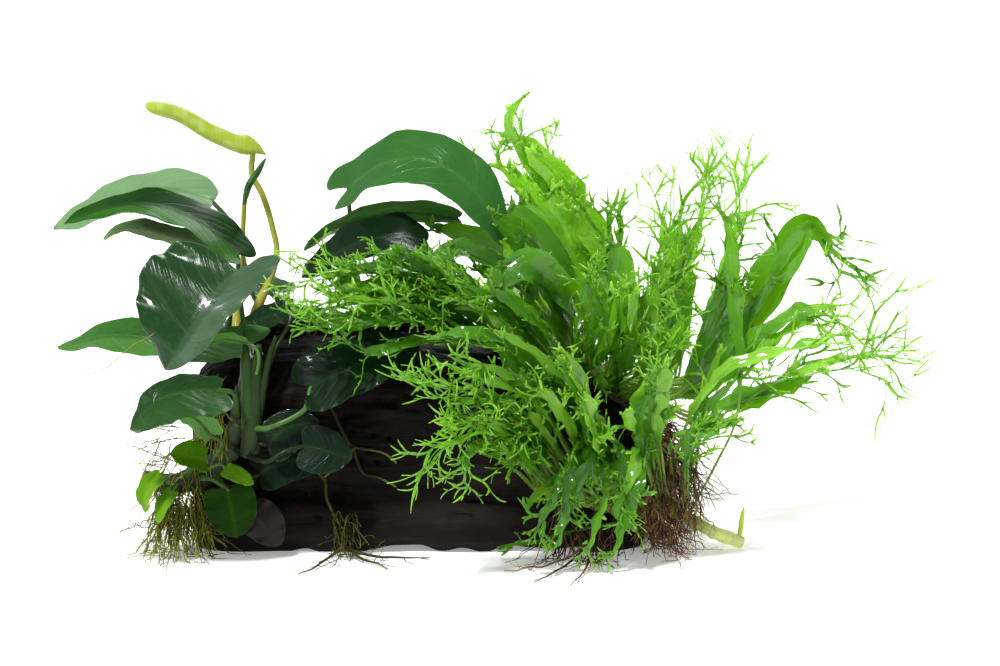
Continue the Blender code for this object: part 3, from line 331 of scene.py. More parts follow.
def spread_out(values, count):
    """A row of values read at count even places, straight between neighbours."""
    return np.interp(np.linspace(0, 1, count), np.linspace(0, 1, len(values)), values)


def rhizome_line(name):
    """The centre line of a rhizome and its radius at each row."""
    host = RHIZOMES[name]
    return smooth(host.points, RHIZOME_ROWS), spread_out(host.radii, RHIZOME_ROWS)


def from_foot(host, along, points):
    """Points of a stalk with two before them: its foot on the rhizome, and 4 mm straight out from there.

    The foot is on the side of the rhizome that faces the first point, at 0.7 of the radius.
    """
    path, radii = rhizome_line(host)
    centre = read_along(path, along)
    before = min(int(along * (RHIZOME_ROWS - 1)), RHIZOME_ROWS - 2)
    tangent = unit(path[before + 1] - path[before])
    out = points[0] - centre
    out = unit(out - dot(out, tangent) * tangent)
    foot = centre + out * np.interp(along, np.linspace(0, 1, RHIZOME_ROWS), radii) * 0.7
    return np.array([foot, foot + out * 4, *points])


def rhizome_skin(name, rings_per_mm, seed):
    """A knobbly tube along the rhizome's line, swollen between the scars that old stalks left round it."""
    path, radii = rhizome_line(name)
    length = np.linalg.norm(np.diff(path, axis=0), axis=1).sum()
    rows = int(length * 1.5)
    line = smooth(path, rows)
    place = np.linspace(0, length * rings_per_mm, rows)
    swell = 1 + 0.05 * np.abs(np.sin(math.pi * place)) - 0.02
    rings = tubes(line[None], (spread_out(radii, rows) * swell)[None], 20)
    bumps = noise(rings / 3.0, seed) - 0.5
    rings = rings + unit(rings - line[None, :, None]) * (bumps * 1.1)[..., None]
    rings[..., 2] += 0.45 * np.minimum(rings[..., 2] - line[None, :, None, 2], 0)
    rings[..., 2] = np.maximum(rings[..., 2], 0.2)
    return skins(rings, along=(np.linspace(0, 1, rows))[None, :, None], place=place[None, :, None])


# Anubias leaves.

# A leaf's row: the rhizome that it grows on and the place along it, points of its stalk and its blade on the front
# sheet, its two half widths, the way its upper side looks, its looks and its finish. rise is how much each half
# folds up, and lobe the base lobes' depth as a share of the length, or one share for the left and one for the right.
FLAT, ROLLED = "flat", "rolled"
Leaf = namedtuple("Leaf", "host along stalk blade left right face looks finish rise lobe kind",
                  defaults=("", 0.12, 0.1, FLAT))

# A leaf's looks: its tone from near black at 0 to bright green at 1, how far its side veins stand out, how much
# painted light its left half, its right half and its tip have, a paler green where light falls on them or a sheen
# shows, and how light its stalk is.
LeafLooks = namedtuple("LeafLooks", "tone relief left right tip stalk", defaults=(0.3, 0.0, 0.0, 0.0, 0.5))


ANUBIAS_LEAVES = {
    "rolled_pale": Leaf(ANUBIAS_TOP, 0.13, [(-72, 146, 8), (-74, 163, 10), (-78.5, 178, 10), (-84, 189, 10)],
        [(-83, 200, 8), (-105, 210.5, 8), (-121, 219.5, 6), (-137.5, 223.5, 4)], 4.6, 4.6, (0, -0.6, 0.8), (0.72,),
        "young", kind=ROLLED),
    "rolled_dark": Leaf(ANUBIAS_TOP, 0.05, [(-89, 136, 9), (-88.5, 160, 9)], [(-88, 174, 6), (-85.5, 183, 3),
        (-81, 190, 0), (-77, 197, -2)], 2.4, 2.4, (0, -1, 0.2), (0.45, 0.0), kind=ROLLED),
    "pale_back": Leaf(ANUBIAS_TOP, 0.2, [(-84, 130, 22), (-92, 160, 36)], [(-104, 176, 40), (-127, 181, 42),
        (-155, 174, 38), (-183, 161, 32)], 17, 17, (-0.1, -0.45, 0.9), (0.75, 0.1, 0.9, 0.85, 1.0), "pale", lobe=0.02),
    "long": Leaf(ANUBIAS_TOP, 0.0, [(-94, 124, -16), (-91, 138, -14)], [(-91, 149, -10), (-110, 165, -2),
        (-136, 174, 2), (-160, 171, 3), (-178, 164, 4)], 15, 15, (0.1, -0.35, 0.94), (0.2, 0.1, 0.5, 0.0, 0.25),
        "shaded", lobe=0.06),
    "hooked": Leaf(ANUBIAS_TOP, 0.28, [(-80, 134, 18), (-94, 147, 14)], [(-104, 151, 10), (-122, 157, 12),
        (-140, 162, 14), (-152, 161, 14), (-158, 156, 12)], 10, 10, (0, -0.3, 0.95), (0.3, 0.1, 0.6, 0.1, 1.0),
        "whitish", lobe=0.04),
    "broad_front": Leaf(ANUBIAS_FRONT, 1.0, [(-87, 100, -52), (-90, 128, -42)], [(-92, 141, -46), (-106, 125, -60),
        (-118, 106, -66), (-127.5, 91, -64)], 15, 37, (-0.15, -0.8, 0.57), (0.3, 0.25, 0.25, 0.0), "broad", rise=0.1,
        lobe=(0.28, 0.04)),
    "left": Leaf(ANUBIAS_FRONT, 0.94, [(-84, 95, -50)], [(-84, 104, -36), (-102, 104, -33), (-128, 106, -30),
        (-155, 108, -28), (-181, 102, -26)], 19, 16, (0, -0.4, 0.92), (0.55, 0.25, 0.6, 0.15, 0.4), lobe=0.08),
    "lower_left": Leaf(ANUBIAS_FRONT, 0.84, [(-93, 79, -68)], [(-100, 81, -75), (-117, 80, -83), (-132, 75, -87),
        (-145, 61, -85)], 20, 11, (-0.1, -0.6, 0.8), (0.32, 0.25, 0.1, 0.0), lobe=0.05),
    "behind_stem": Leaf(ANUBIAS_FRONT, 0.98, [(-73, 100, -46), (-66, 113, -36)], [(-65, 121, -18), (-74, 118, -16),
        (-83, 115, -16), (-91, 112, -17)], 9, 9, (0, -0.5, 0.85), (0.08, 0.2, 0, 0, 0, 0.1)),
    "curled_under": Leaf(ANUBIAS_FRONT, 0.9, [(-81, 92, -60), (-81.5, 101, -58)], [(-87, 105, -57), (-96, 106.5, -55),
        (-105, 105, -55), (-113, 100, -56)], 6, 6, (0, 0.6, 0.8), (0.55, 0.15, 0.6, 0.6, 0.0, 0.8), lobe=0.05),
    "young_cup": Leaf(ANUBIAS_FRONT, 0.26, [(-112, 44, -64)], [(-108, 46, -67), (-116, 48, -71), (-125, 49, -73)], 8, 8,
        (0, -0.75, 0.65), (0.72, 0.1), "lime", rise=0.3),
    "underside": Leaf(ANUBIAS_FRONT, 0.56, [(-99, 54, -66)], [(-105, 59, -68), (-111, 66, -69), (-120, 70, -71),
        (-132, 67, -73)], 9, 9, (-0.2, 0.62, 0.75), (0.6, 0.2, 0.6, 0.6), lobe=0.1),
    "round": Leaf(ANUBIAS_FRONT, 0.32, [(-103, 36, -64)], [(-96, 31, -66), (-94, 20, -67), (-91.5, 7, -66)], 12.5, 12.5,
        (0, -0.98, 0.2), (0.12, 0.0), "lime", rise=0.05),
    "old_brown": Leaf(ANUBIAS_FRONT, 0.46, [(-92, 28, -56)], [(-85, 21, -55), (-78, 14.5, -56), (-70, 3, -56)], 10, 10,
        (0, -0.98, 0.2), (0.1, 0.0), "old", rise=0.0, lobe=0.05),
    "on_log_top": Leaf(ANUBIAS_FRONT, 0.72, [(-80, 54, -60)], [(-76, 54, -60), (-66, 62, -59), (-50, 65, -57)], 9, 12,
        (0, -0.95, 0.3), (0.03, 0.15, 0, 0, 0, 0.0), rise=0.05),
    "on_log": Leaf(ANUBIAS_FRONT, 0.58, [(-84, 38, -58)], [(-79, 40, -56), (-66, 46, -56), (-46, 46, -55)], 12, 11,
        (0, -0.96, 0.25), (0.03, 0.15, 0, 0, 0, 0.0), "shaded", rise=0.05),
    "on_log_outer": Leaf(ANUBIAS_FRONT, 0.64, [(-78, 45, -68), (-68, 50, -68)], [(-58, 53, -66), (-48, 51, -66),
        (-34, 47, -64)], 11, 12, (0, -0.95, 0.3), (0.04, 0.15, 0, 0, 0, 0.0), rise=0.05),
    "over_log": Leaf(ANUBIAS_FRONT, 0.78, [(-76, 62, -66), (-59, 70, -64), (-56, 77, -62)], [(-55, 82, -59),
        (-40, 90, -58), (-22, 97, -56), (0, 104, -54)], 17, 17, (-0.1, -0.75, 0.65), (0.06, 0.15, 0.0, 0.0, 0.0, 0.6),
        "shaded", lobe=0.1),
    "arching": Leaf(ANUBIAS_TOP, 0.6, [(-33, 146, 32), (-35, 168, 30)], [(-36, 182, 12), (-18, 194, 0), (3, 196, -8),
        (23, 185, -15), (35, 169, -19), (41, 153, -19)], 18, 18, (0.1, -0.7, 0.7), (0.66, 0.1), lobe=(0.16, 0.07)),
    "mid_under": Leaf(ANUBIAS_TOP, 0.9, [(14, 140, 20), (20, 162, 14)], [(18, 167, 6), (-6, 170, 2), (-28, 167, -1),
        (-46, 160, -4), (-58, 151, -6)], 10, 10, (0, 0.62, 0.78), (0.6, 0.2, 0.2, 0.2), lobe=0.03),
    "mid_dark": Leaf(ANUBIAS_TOP, 0.82, [(0, 136, -6), (4, 149, -12)], [(3, 155, -16), (-12, 158.5, -20),
        (-36, 152, -24), (-59, 137, -26)], 17, 17, (-0.2, -0.45, 0.88), (0.05, 0.1, 0, 0, 0, 0.1), lobe=0.04),
    "mid_low": Leaf(ANUBIAS_TOP, 1.0, [(24, 130, 24)], [(16, 140, 28), (-4, 147, 28), (-24, 144, 26)], 10, 10,
        (0, -0.4, 0.9), (0.1, 0.15, 0, 0, 0, 0.1)),
    "foot_outer": Leaf(ANUBIAS_FRONT, 0.06, [(-128, 38, -62)], [(-130, 38, -66), (-135, 34, -69), (-138, 28, -70),
        (-137, 20, -70)], 6.5, 6.5, (-0.5, -0.6, 0.6), (0.75, 0.1, 0.5, 0.0), "lime"),
    "back_left": Leaf(ANUBIAS_TOP, 0.4, [(-66, 124, 26)], [(-74, 130, 42), (-88, 134, 66), (-98, 120, 88)], 15, 15,
        (-0.2, 0.2, 0.95), (0.4, 0.3)),
    "back_mid": Leaf(ANUBIAS_TOP, 0.72, [(-12, 128, 30)], [(-8, 140, 46), (2, 142, 70), (12, 126, 94)], 15, 15,
        (0.1, 0.25, 0.95), (0.5, 0.3)),
}
ANUBIAS_SHOOTS = [
    Leaf(ANUBIAS_FRONT, 0.42, [(-100, 44, -66)], [(-97, 41, -68), (-90, 38, -70), (-83, 34, -69)], 4.5, 4.5,
        (0, -0.7, 0.7), (0.8, 0.2, 0.3, 0.3), "lime"),
    Leaf(ANUBIAS_FRONT, 0.15, [(-122, 34, -64)], [(-124, 30, -67), (-129, 23, -70), (-131, 14, -70)], 4, 4,
        (-0.3, -0.8, 0.5), (0.8, 0.2, 0.3, 0.3), "lime"),
]

# The heart-shaped outline from the stalk round the base lobe to the tip: share of the half width, share of the
# length, how much of the lobe's depth is taken off that length, and how far a deep lobe spreads outwards.
OUTLINE = [
    (0.02, 0.0, 0.0, 0.0), (0.24, 0.0, 0.75, 0.6), (0.56, 0.01, 1.0, 1.5), (0.84, 0.08, 0.6, 0.9),
    (0.985, 0.23, 0.1, 0.2), (0.99, 0.42, 0.0, 0.0), (0.88, 0.61, 0.0, 0.0), (0.67, 0.78, 0.0, 0.0),
    (0.39, 0.91, 0.0, 0.0), (0.18, 0.97, 0.0, 0.0), (0.005, 1.0, 0.0, 0.0),
]
BLADE_ROWS, MIDRIB_ROWS, STEM_ROWS, VEINS = 73, 61, 25, 9
ACROSS = np.array([0, 0.04, 0.1, 0.18, 0.28, 0.4, 0.52, 0.64, 0.75, 0.85, 0.93, 0.98, 1.0])
ACROSS_RING = np.concatenate([-ACROSS[:0:-1], ACROSS, ACROSS[-2:0:-1], -ACROSS[:-1]])
UNDER_RING = np.concatenate([np.zeros(2 * len(ACROSS) - 1), np.ones(2 * len(ACROSS) - 3)])


def blade_skin(leaf, seed):
    """An anubias blade as one closed skin.

    Rows follow the side veins: row t starts at the midrib at t to the power 1.5 of the length and arcs out, as
    a parabola, to the heart-shaped outline. Height over the midrib's sheet is the fold (rise times the distance
    out), waves towards the margin, and a shallow valley along each vein. The two sides lie half a thickness
    above and below, thickest at the midrib and nothing at the margin.
    """
    looks, path = LeafLooks(*leaf.looks), smooth(seen(leaf.blade), MIDRIB_ROWS)
    length = np.linalg.norm(np.diff(path, axis=0), axis=1).sum()
    tangent, side, normal = (values[0] for values in frames(path[None], leaf.face, MIDRIB_ROWS // 2))
    edge = smooth(OUTLINE, BLADE_ROWS)
    t, u = np.linspace(0, 1, BLADE_ROWS)[:, None], ACROSS_RING[None]
    out, half = np.abs(u), np.where(u < 0, leaf.left, leaf.right)
    lobe = np.where(u < 0, *np.broadcast_to(leaf.lobe, 2))
    edge_x, edge_y = edge[:, :1] + lobe * edge[:, 3:], edge[:, 1:2] - lobe * edge[:, 2:3]
    rib_y = t**1.5
    bend_y = rib_y + 0.25 * (edge_y - rib_y)
    x = np.sign(u) * half * (2 * out * (1 - out) * 0.52 * edge_x + out**2 * edge_x)
    y = (1 - out) ** 2 * rib_y + 2 * out * (1 - out) * bend_y + out**2 * edge_y
    phase = np.random.RandomState(seed).uniform(0, TURN, 3)
    fold = leaf.rise * (np.sqrt(x**2 + 2.0) - math.sqrt(2.0))
    wave = 0.055 * half * out**2.5 * np.sin(TURN * 2.6 * y + phase[0] + 0.9 * np.sign(u))
    wave = wave + 0.03 * half * out**3 * np.sin(TURN * 5.3 * y + phase[1] * np.sign(u))
    vein = VEINS * t + 0.16 * np.sin(7 * t + phase[2] * np.sign(u)) + 0.10 * np.sin(17 * t + phase[0] * np.sign(u))
    uneven = 0.5 + noise(np.stack([5 * y, 3 * u + 9 + 0 * y, 0 * y], axis=-1), seed)
    valley = -0.26 * looks.relief * uneven * np.cos(TURN * vein) * 4 * out * (1 - out)
    valley = valley * np.clip(half * edge_x / 10, 0, 1)
    thick = 0.30 * np.sqrt(np.maximum(1 - out**6, 0)) + 0.16 * np.exp(-((x / 1.2) ** 2))
    place = np.clip(y, 0, 1)
    foot = read_along(path, place) + read_along(tangent, place) * (np.minimum(y, 0) * length)[..., None]
    height = fold + wave + valley + np.where(UNDER_RING > 0, -thick, thick)
    # Painted light: each half and the tip get a share of paler colour where light falls on them or a sheen shows.
    light = np.where(u < 0, looks.left, looks.right) * np.clip(out * 4, 0, 1)
    light = np.maximum(light, looks.tip * np.clip((y - 0.6) / 0.35, 0, 1))
    points = foot + read_along(side, place) * x[..., None] + read_along(normal, place) * height[..., None]
    rib = np.exp(-((x / 1.1) ** 2)) * (1 - 0.5 * y)
    return skins(points[None], 0, along=t, across=u, rib=rib, vein=vein, under=UNDER_RING, light=light)


# The roll: its rows and columns, where its spiral starts, and its girth along the length.
ROLL_ROWS, ROLL_COLUMNS, ROLL_START = 81, 48, 0.16
ROLL_GIRTH = [(0, 0.25), (0.04, 0.66), (0.10, 0.92), (0.2, 1.02), (0.4, 1.04), (0.65, 0.98), (0.85, 0.9),
              (0.93, 0.78), (0.98, 0.5), (1, 0.06)]


def rolled_skin(leaf):
    """A leaf still rolled up: a tube whose section is a spiral, its radius a third less after one turn.

    At the stalk the spiral's outer edge flares into a lip with up to twice the radius, which runs on past the end.
    """
    path = smooth(seen(leaf.blade), ROLL_ROWS)
    _, side, normal = frames(path[None], leaf.face, ROLL_ROWS // 2)
    s, turn = np.linspace(0, 1, ROLL_ROWS)[:, None], np.linspace(0.02, 0.98, ROLL_COLUMNS)[None]
    wide = leaf.left > 3
    girth = np.interp(s, *np.array(ROLL_GIRTH).T) if wide else (s + 0.03) ** 0.5 * (1 - s) ** 0.6 / 0.60 + 0.02
    flare = (0.9 if wide else 0.3) * np.exp(-(((s - 0.08) / 0.07) ** 2)) * np.clip(1 - turn / 0.12, 0, 1) ** 1.5
    ripple = 0.02 * np.sin(TURN * (2.3 * s + turn)) + 0.03 * np.sin(TURN * 4 * s) * np.exp(-((turn / 0.08) ** 2))
    radius = leaf.left * girth * (1.06 - 0.30 * turn + flare + ripple)
    angle = TURN * (turn + 0.12 * s + ROLL_START)
    points = path[:, None] + side[0][:, None] * (radius * np.cos(angle))[..., None]
    points = points + normal[0][:, None] * (radius * np.sin(angle))[..., None]
    past = np.clip(1 - s / 0.1, 0, 1) * np.clip(1 - turn / 0.3, 0, 1) * (1.5 if wide else 0.2)
    points = points - unit(path[2] - path[0]) * (leaf.left * past)[..., None]
    edge = np.exp(-(((turn - 0.02) / 0.03) ** 2)) + 0 * s
    veins = np.cos(TURN * (14 * s + 3 * turn)) * 0.5 + 0.5
    light = np.clip(3 * noise(points[None] / 4.0, 61) - 1.4, 0, 0.5)
    return skins(points[None], 0, along=s, across=turn * 2 - 1, rib=edge * 0.5, under=0.1 + 0.12 * veins,
                 vein=14 * s + 3 * turn, light=light)


def stalk_skin(leaf):
    """The stalk, and under the blade the raised midrib that it runs into: one tube that tapers to the leaf's tip."""
    blade = smooth(seen(leaf.blade), 31)
    stem = smooth(from_foot(leaf.host, leaf.along, [*seen(leaf.stalk), blade[0]]), STEM_ROWS)
    path = np.vstack([stem, blade[1:-2]])
    _, _, normal = frames(path[None], leaf.face, STEM_ROWS + 14)
    row, rows = np.arange(len(path)), len(path)
    on_blade = np.clip((row - (STEM_ROWS - 1)) / (rows - STEM_ROWS), 0, 1)
    rolled = leaf.kind == ROLLED
    size = 0.8 + 0.1 * leaf.left if rolled else min(1.0, 0.45 + (leaf.left + leaf.right) / 50)
    sheath = np.clip(1 - row / 11.0, 0, 1) ** 1.3
    radius = size * (np.where(on_blade > 0, 1.05 * (1 - on_blade) ** 0.8 + 0.12, 1.2) + 1.15 * sheath)
    drop = np.where(on_blade > 0, 0.75, 0.35 * np.clip((row - (STEM_ROWS - 5)) / 4, 0, 1)) * radius
    path = path - normal[0] * drop[:, None]
    if rolled:
        path, radius = path[: STEM_ROWS + 2], radius[: STEM_ROWS + 2]
    place = np.linspace(0, 1, len(path))
    return skins(tubes(path[None], radius[None], 12), 1, along=place[None, :, None], rib=1.0, under=0.5, across=0.0)


# Fern fronds.

# The ways that a frond's upper side looks.
OUTWARD, LEVEL, OVER, BEHIND = (0, -0.85, 0.5), (0, -0.5, 0.85), (0, -0.7, 0.7), (0, 0.3, 0.95)

# A frond's row: its rhizome and the place along it, points on the front sheet, its half width, the forked tip's
# reach, its seed, the way its upper side looks and its looks. opening is how far the tip's outer forks turn out,
# 20 degrees at 25, and stipe the stalk's share of the length. The looks are the tone from deep green at 0 to bright
# yellow-green at 1, which differs from frond to frond and is also set low deep in the fern and high on top, as
# painted shade and light; the ruffle as a share of the half width, how many forks grow from the margins, the width
# as a share of the solid's, and how unevenly the margins are lobed.
Frond = namedtuple("Frond", "host along path half_width reach seed face looks opening stipe",
                   defaults=((0.5, 0.3, 6, 0.7, 0.3), 25, 0.35))


FERN_FRONDS = [
    Frond(FERN_BACK, 0.4, [(93, 111, 40), (88, 136, 42), (77.5, 166, 40), (64, 188, 36), (51, 202, 32), (45, 209, 30)],
        8.5, 16, 3, OUTWARD, (0.9, 0.16, 14, 0.95, 0.16), opening=42),
    Frond(FERN_BACK, 0.62, [(90, 111, 54), (84, 141, 60), (70, 168, 62), (55, 182, 60), (47, 189, 58)], 8, 14, 5,
        OUTWARD, (0.85, 0.14, 5, 0.9, 0.14)),
    Frond(FERN_BACK, 0.22, [(97, 118, 34), (92, 146, 28), (85, 166, 26), (76, 178, 24)], 7, 12, 7, OUTWARD,
        (0.8, 0.14, 3, 0.85, 0.12)),
    Frond(FERN_TOP, 0.34, [(89, 103, -4), (91.5, 121, -2), (95, 138, 2), (97, 152, 6)], 9.5, 22, 11, OUTWARD,
        (0.4, 0.1, 4, 0.9, 0.1)),
    Frond(FERN_TOP, 0.22, [(108, 92, 0), (113, 114, 6), (118, 133, 10)], 6, 32, 13, OUTWARD, (0.6, 0.16, 8, 0.9, 0.14)),
    Frond(FERN_BACK, 0.1, [(124, 86, 30), (125, 111, 34), (126, 136, 38), (128, 158, 38), (129, 166, 38)], 8, 34, 17,
        OUTWARD, (0.6, 0.16, 9, 0.8, 0.12), opening=34),
    Frond(FERN_FRONT, 0.3, [(148, 44, -46), (158, 66, -38), (160, 91, -34), (158.5, 111, -30), (157, 131, -28),
        (156.5, 148, -26), (153.5, 168, -26)], 4.4, 22, 19, OUTWARD, (0.5, 0.35, 1, 0.9, 0.2), stipe=0.42),
    Frond(FERN_TOP, 0.02, [(150, 90, 4), (168, 121, 8), (179, 143, 10), (188, 157, 8), (196, 162, 4), (204, 155, 0)],
        10, 36, 31, (-0.2, -0.9, 0.4), (0.26, 0.12, 5, 1.0, 0.08), opening=18),
    Frond(FERN_TOP, 0.1, [(146, 87, -22), (161, 101, -26), (174, 112, -28), (188, 119, -30), (200, 120, -32),
        (209, 115, -32)], 5, 36, 29, LEVEL, (0.55, 0.5, 3, 0.75, 0.3)),
    Frond(FERN_FRONT, 0.4, [(140, 72, -60), (161, 93, -58), (175, 98.5, -58), (190, 103, -58), (203, 106, -58)], 3.6,
        48, 31, LEVEL, (0.6, 0.5, 2, 0.9, 0.3), opening=20),
    Frond(FERN_BACK, 0.0, [(142, 66, 18), (162, 77, 22), (180, 83, 24), (197, 89, 26), (208, 91, 26)], 6.5, 42, 37,
        LEVEL, (0.5, 0.4, 4, 0.75, 0.3), opening=30),
    Frond(FERN_TOP, 0.21, [(128, 82, -14), (142, 102, -16), (150, 126, -14), (153, 142, -12)], 6.5, 24, 43, OUTWARD,
        (0.4, 0.2, 5, 0.8, 0.15)),
    Frond(FERN_TOP, 0.55, [(72, 108, -14), (64, 136, -16), (50, 158, -22), (38, 168, -26)], 6.5, 10, 47, OUTWARD,
        (0.28, 0.12, 1, 1.0, 0.08)),
    Frond(FERN_TOP, 0.66, [(72, 106, -24), (58, 128, -28), (40, 143, -36), (20, 151, -40), (4, 146, -42)], 6, 14, 53,
        LEVEL, (0.15, 0.16, 1, 1.0, 0.08)),
    Frond(FERN_TOP, 0.42, [(80, 100, -26), (72, 121, -38), (64, 137, -46), (52, 142, -52), (41, 137, -56)], 6.5, 9, 59,
        LEVEL, (0.2, 0.2, 2, 1.0, 0.1)),
    Frond(FERN_TOP, 0.6, [(66, 94, -36), (50, 112, -50), (33, 125, -62), (19, 131, -66)], 5.5, 20, 61, OVER,
        (0.35, 0.3, 8, 0.65, 0.3)),
    Frond(FERN_FRONT, 0.66, [(78, 66, -70), (62, 88, -80), (44, 104, -86), (28, 108, -88), (17, 105, -88)], 5, 16, 67,
        OVER, (0.4, 0.3, 10, 0.6, 0.35)),
    Frond(FERN_FRONT, 0.76, [(70, 58, -72), (58, 76, -86), (38, 86, -97), (20, 89, -102)], 4.6, 22, 71, OVER,
        (0.5, 0.3, 12, 0.6, 0.35)),
    Frond(FERN_FRONT, 0.84, [(64, 52, -74), (50, 66, -92), (34, 74, -104), (16, 76, -108)], 4.6, 32, 73, OVER,
        (0.5, 0.3, 14, 0.55, 0.4)),
    Frond(FERN_FRONT, 0.92, [(60, 46, -74), (46, 58, -94), (32, 60, -108), (20, 56, -112)], 4, 30, 79, OVER,
        (0.5, 0.3, 12, 0.6, 0.4)),
    Frond(FERN_FRONT, 0.58, [(86, 50, -70), (80, 46, -84), (75, 30, -92), (73.5, 16, -92)], 4.4, 14, 89, OUTWARD,
        (0.3, 0.3, 14, 0.55, 0.4), opening=34),
    Frond(FERN_FRONT, 0.44, [(108, 48, -68), (103, 38, -80), (99, 24, -84), (100.5, 14, -84)], 4, 13, 97, OUTWARD,
        (0.4, 0.3, 14, 0.55, 0.4), opening=30),
    Frond(FERN_TOP, 0.84, [(28, 116, -36), (10, 130, -52), (-12, 138, -60), (-42, 141, -64)], 4, 27, 101, LEVEL,
        (0.6, 0.3, 14, 0.6, 0.35)),
    Frond(FERN_TOP, 0.94, [(22, 110, -42), (4, 120, -60), (-18, 126, -70), (-40, 127, -74)], 4.4, 27, 103, LEVEL,
        (0.6, 0.3, 14, 0.6, 0.35)),
    Frond(FERN_TOP, 0.76, [(34, 118, -30), (14, 135, -49), (-4, 147, -56), (-22, 150, -57)], 5.4, 12, 107, LEVEL,
        (0.35, 0.3, 5, 0.7, 0.3)),
]

SMALL_FRONDS = [
    Frond(FERN_FRONT, 0.36, [(132, 55, -66), (144, 61, -68), (156, 64, -70)], 3, 12, 41, LEVEL),
    Frond(FERN_FRONT, 1.0, [(50, 44, -76), (38, 52, -92), (27, 54, -104), (22.5, 40, -108)], 2.6, 18, 83, OVER),
    Frond(FERN_FRONT, 0.7, [(76, 34, -66), (66, 34, -76), (54, 24, -80)], 4.5, 6, 109, LEVEL,
        (0.7, 0.25, 0, 1.0, 0.12)),
    Frond(FERN_FRONT, 0.5, [(94, 50, -66), (88, 66, -78), (80, 76, -84)], 4.5, 16, 113, OUTWARD),
    Frond(FERN_FRONT, 0.62, [(86, 62, -84), (80, 84, -98), (72, 98, -104)], 4, 14, 139, OVER),
    Frond(FERN_FRONT, 0.41, [(114, 62, -78), (118, 80, -90), (118, 94, -94)], 4, 14, 149, OVER),
    Frond(FERN_TOP, 0.3, [(96, 88, -30), (100, 98, -44), (108, 100, -52)], 5, 14, 127, OVER),
    Frond(FERN_TOP, 0.5, [(74, 84, -34), (70, 92, -50), (64, 92, -60)], 5, 14, 131, OVER),
    Frond(FERN_TOP, 0.26, [(102, 98, -40), (106, 118, -60), (106, 134, -68)], 4.5, 14, 151, OVER),
    Frond(FERN_TOP, 0.46, [(84, 100, -48), (88, 118, -64), (86, 134, -72)], 4.5, 14, 157, OVER),
    Frond(FERN_TOP, 0.14, [(118, 88, -42), (126, 104, -56), (132, 118, -62)], 4.5, 16, 163, OVER),
    Frond(FERN_BACK, 0.5, [(76, 104, 66), (60, 112, 84), (50, 100, 98)], 6, 18, 137, BEHIND),
    Frond(FERN_BACK, 0.16, [(118, 98, 60), (124, 124, 70), (128, 146, 74)], 5, 16, 167, OUTWARD),
    Frond(FERN_BACK, 0.32, [(102, 102, 66), (102, 126, 78), (96, 148, 82)], 5, 16, 173, OUTWARD),
    Frond(FERN_BACK, 0.78, [(66, 104, 66), (50, 126, 72), (34, 144, 74)], 5, 16, 179, OUTWARD),
    Frond(FERN_BACK, 0.04, [(138, 78, 56), (152, 92, 68), (164, 98, 76)], 5, 16, 181, LEVEL),
    Frond(FERN_BACK, 0.34, [(102, 84, 78), (110, 82, 94), (116, 66, 102)], 5, 12, 191, BEHIND),
    Frond(FERN_BACK, 0.72, [(66, 86, 80), (58, 82, 96), (50, 66, 102)], 5, 12, 193, BEHIND),
]


STRAP_TOP = np.array([-1, -0.75, -0.45, -0.18, 0, 0.18, 0.45, 0.75, 1.0])
STRAP_RING = np.concatenate([STRAP_TOP, STRAP_TOP[-2:0:-1]])
STRAP_UNDER = np.concatenate([np.zeros(9), np.ones(7)])


# The lance outline: narrow at the stalk, widest past the middle, and a third as wide where the tip forks.
FROND_WIDTH = np.array([(0, 0.18), (0.1, 0.36), (0.3, 0.74), (0.55, 0.97), (0.75, 1.0), (0.88, 0.82), (0.95, 0.52),
                        (1, 0.3)])


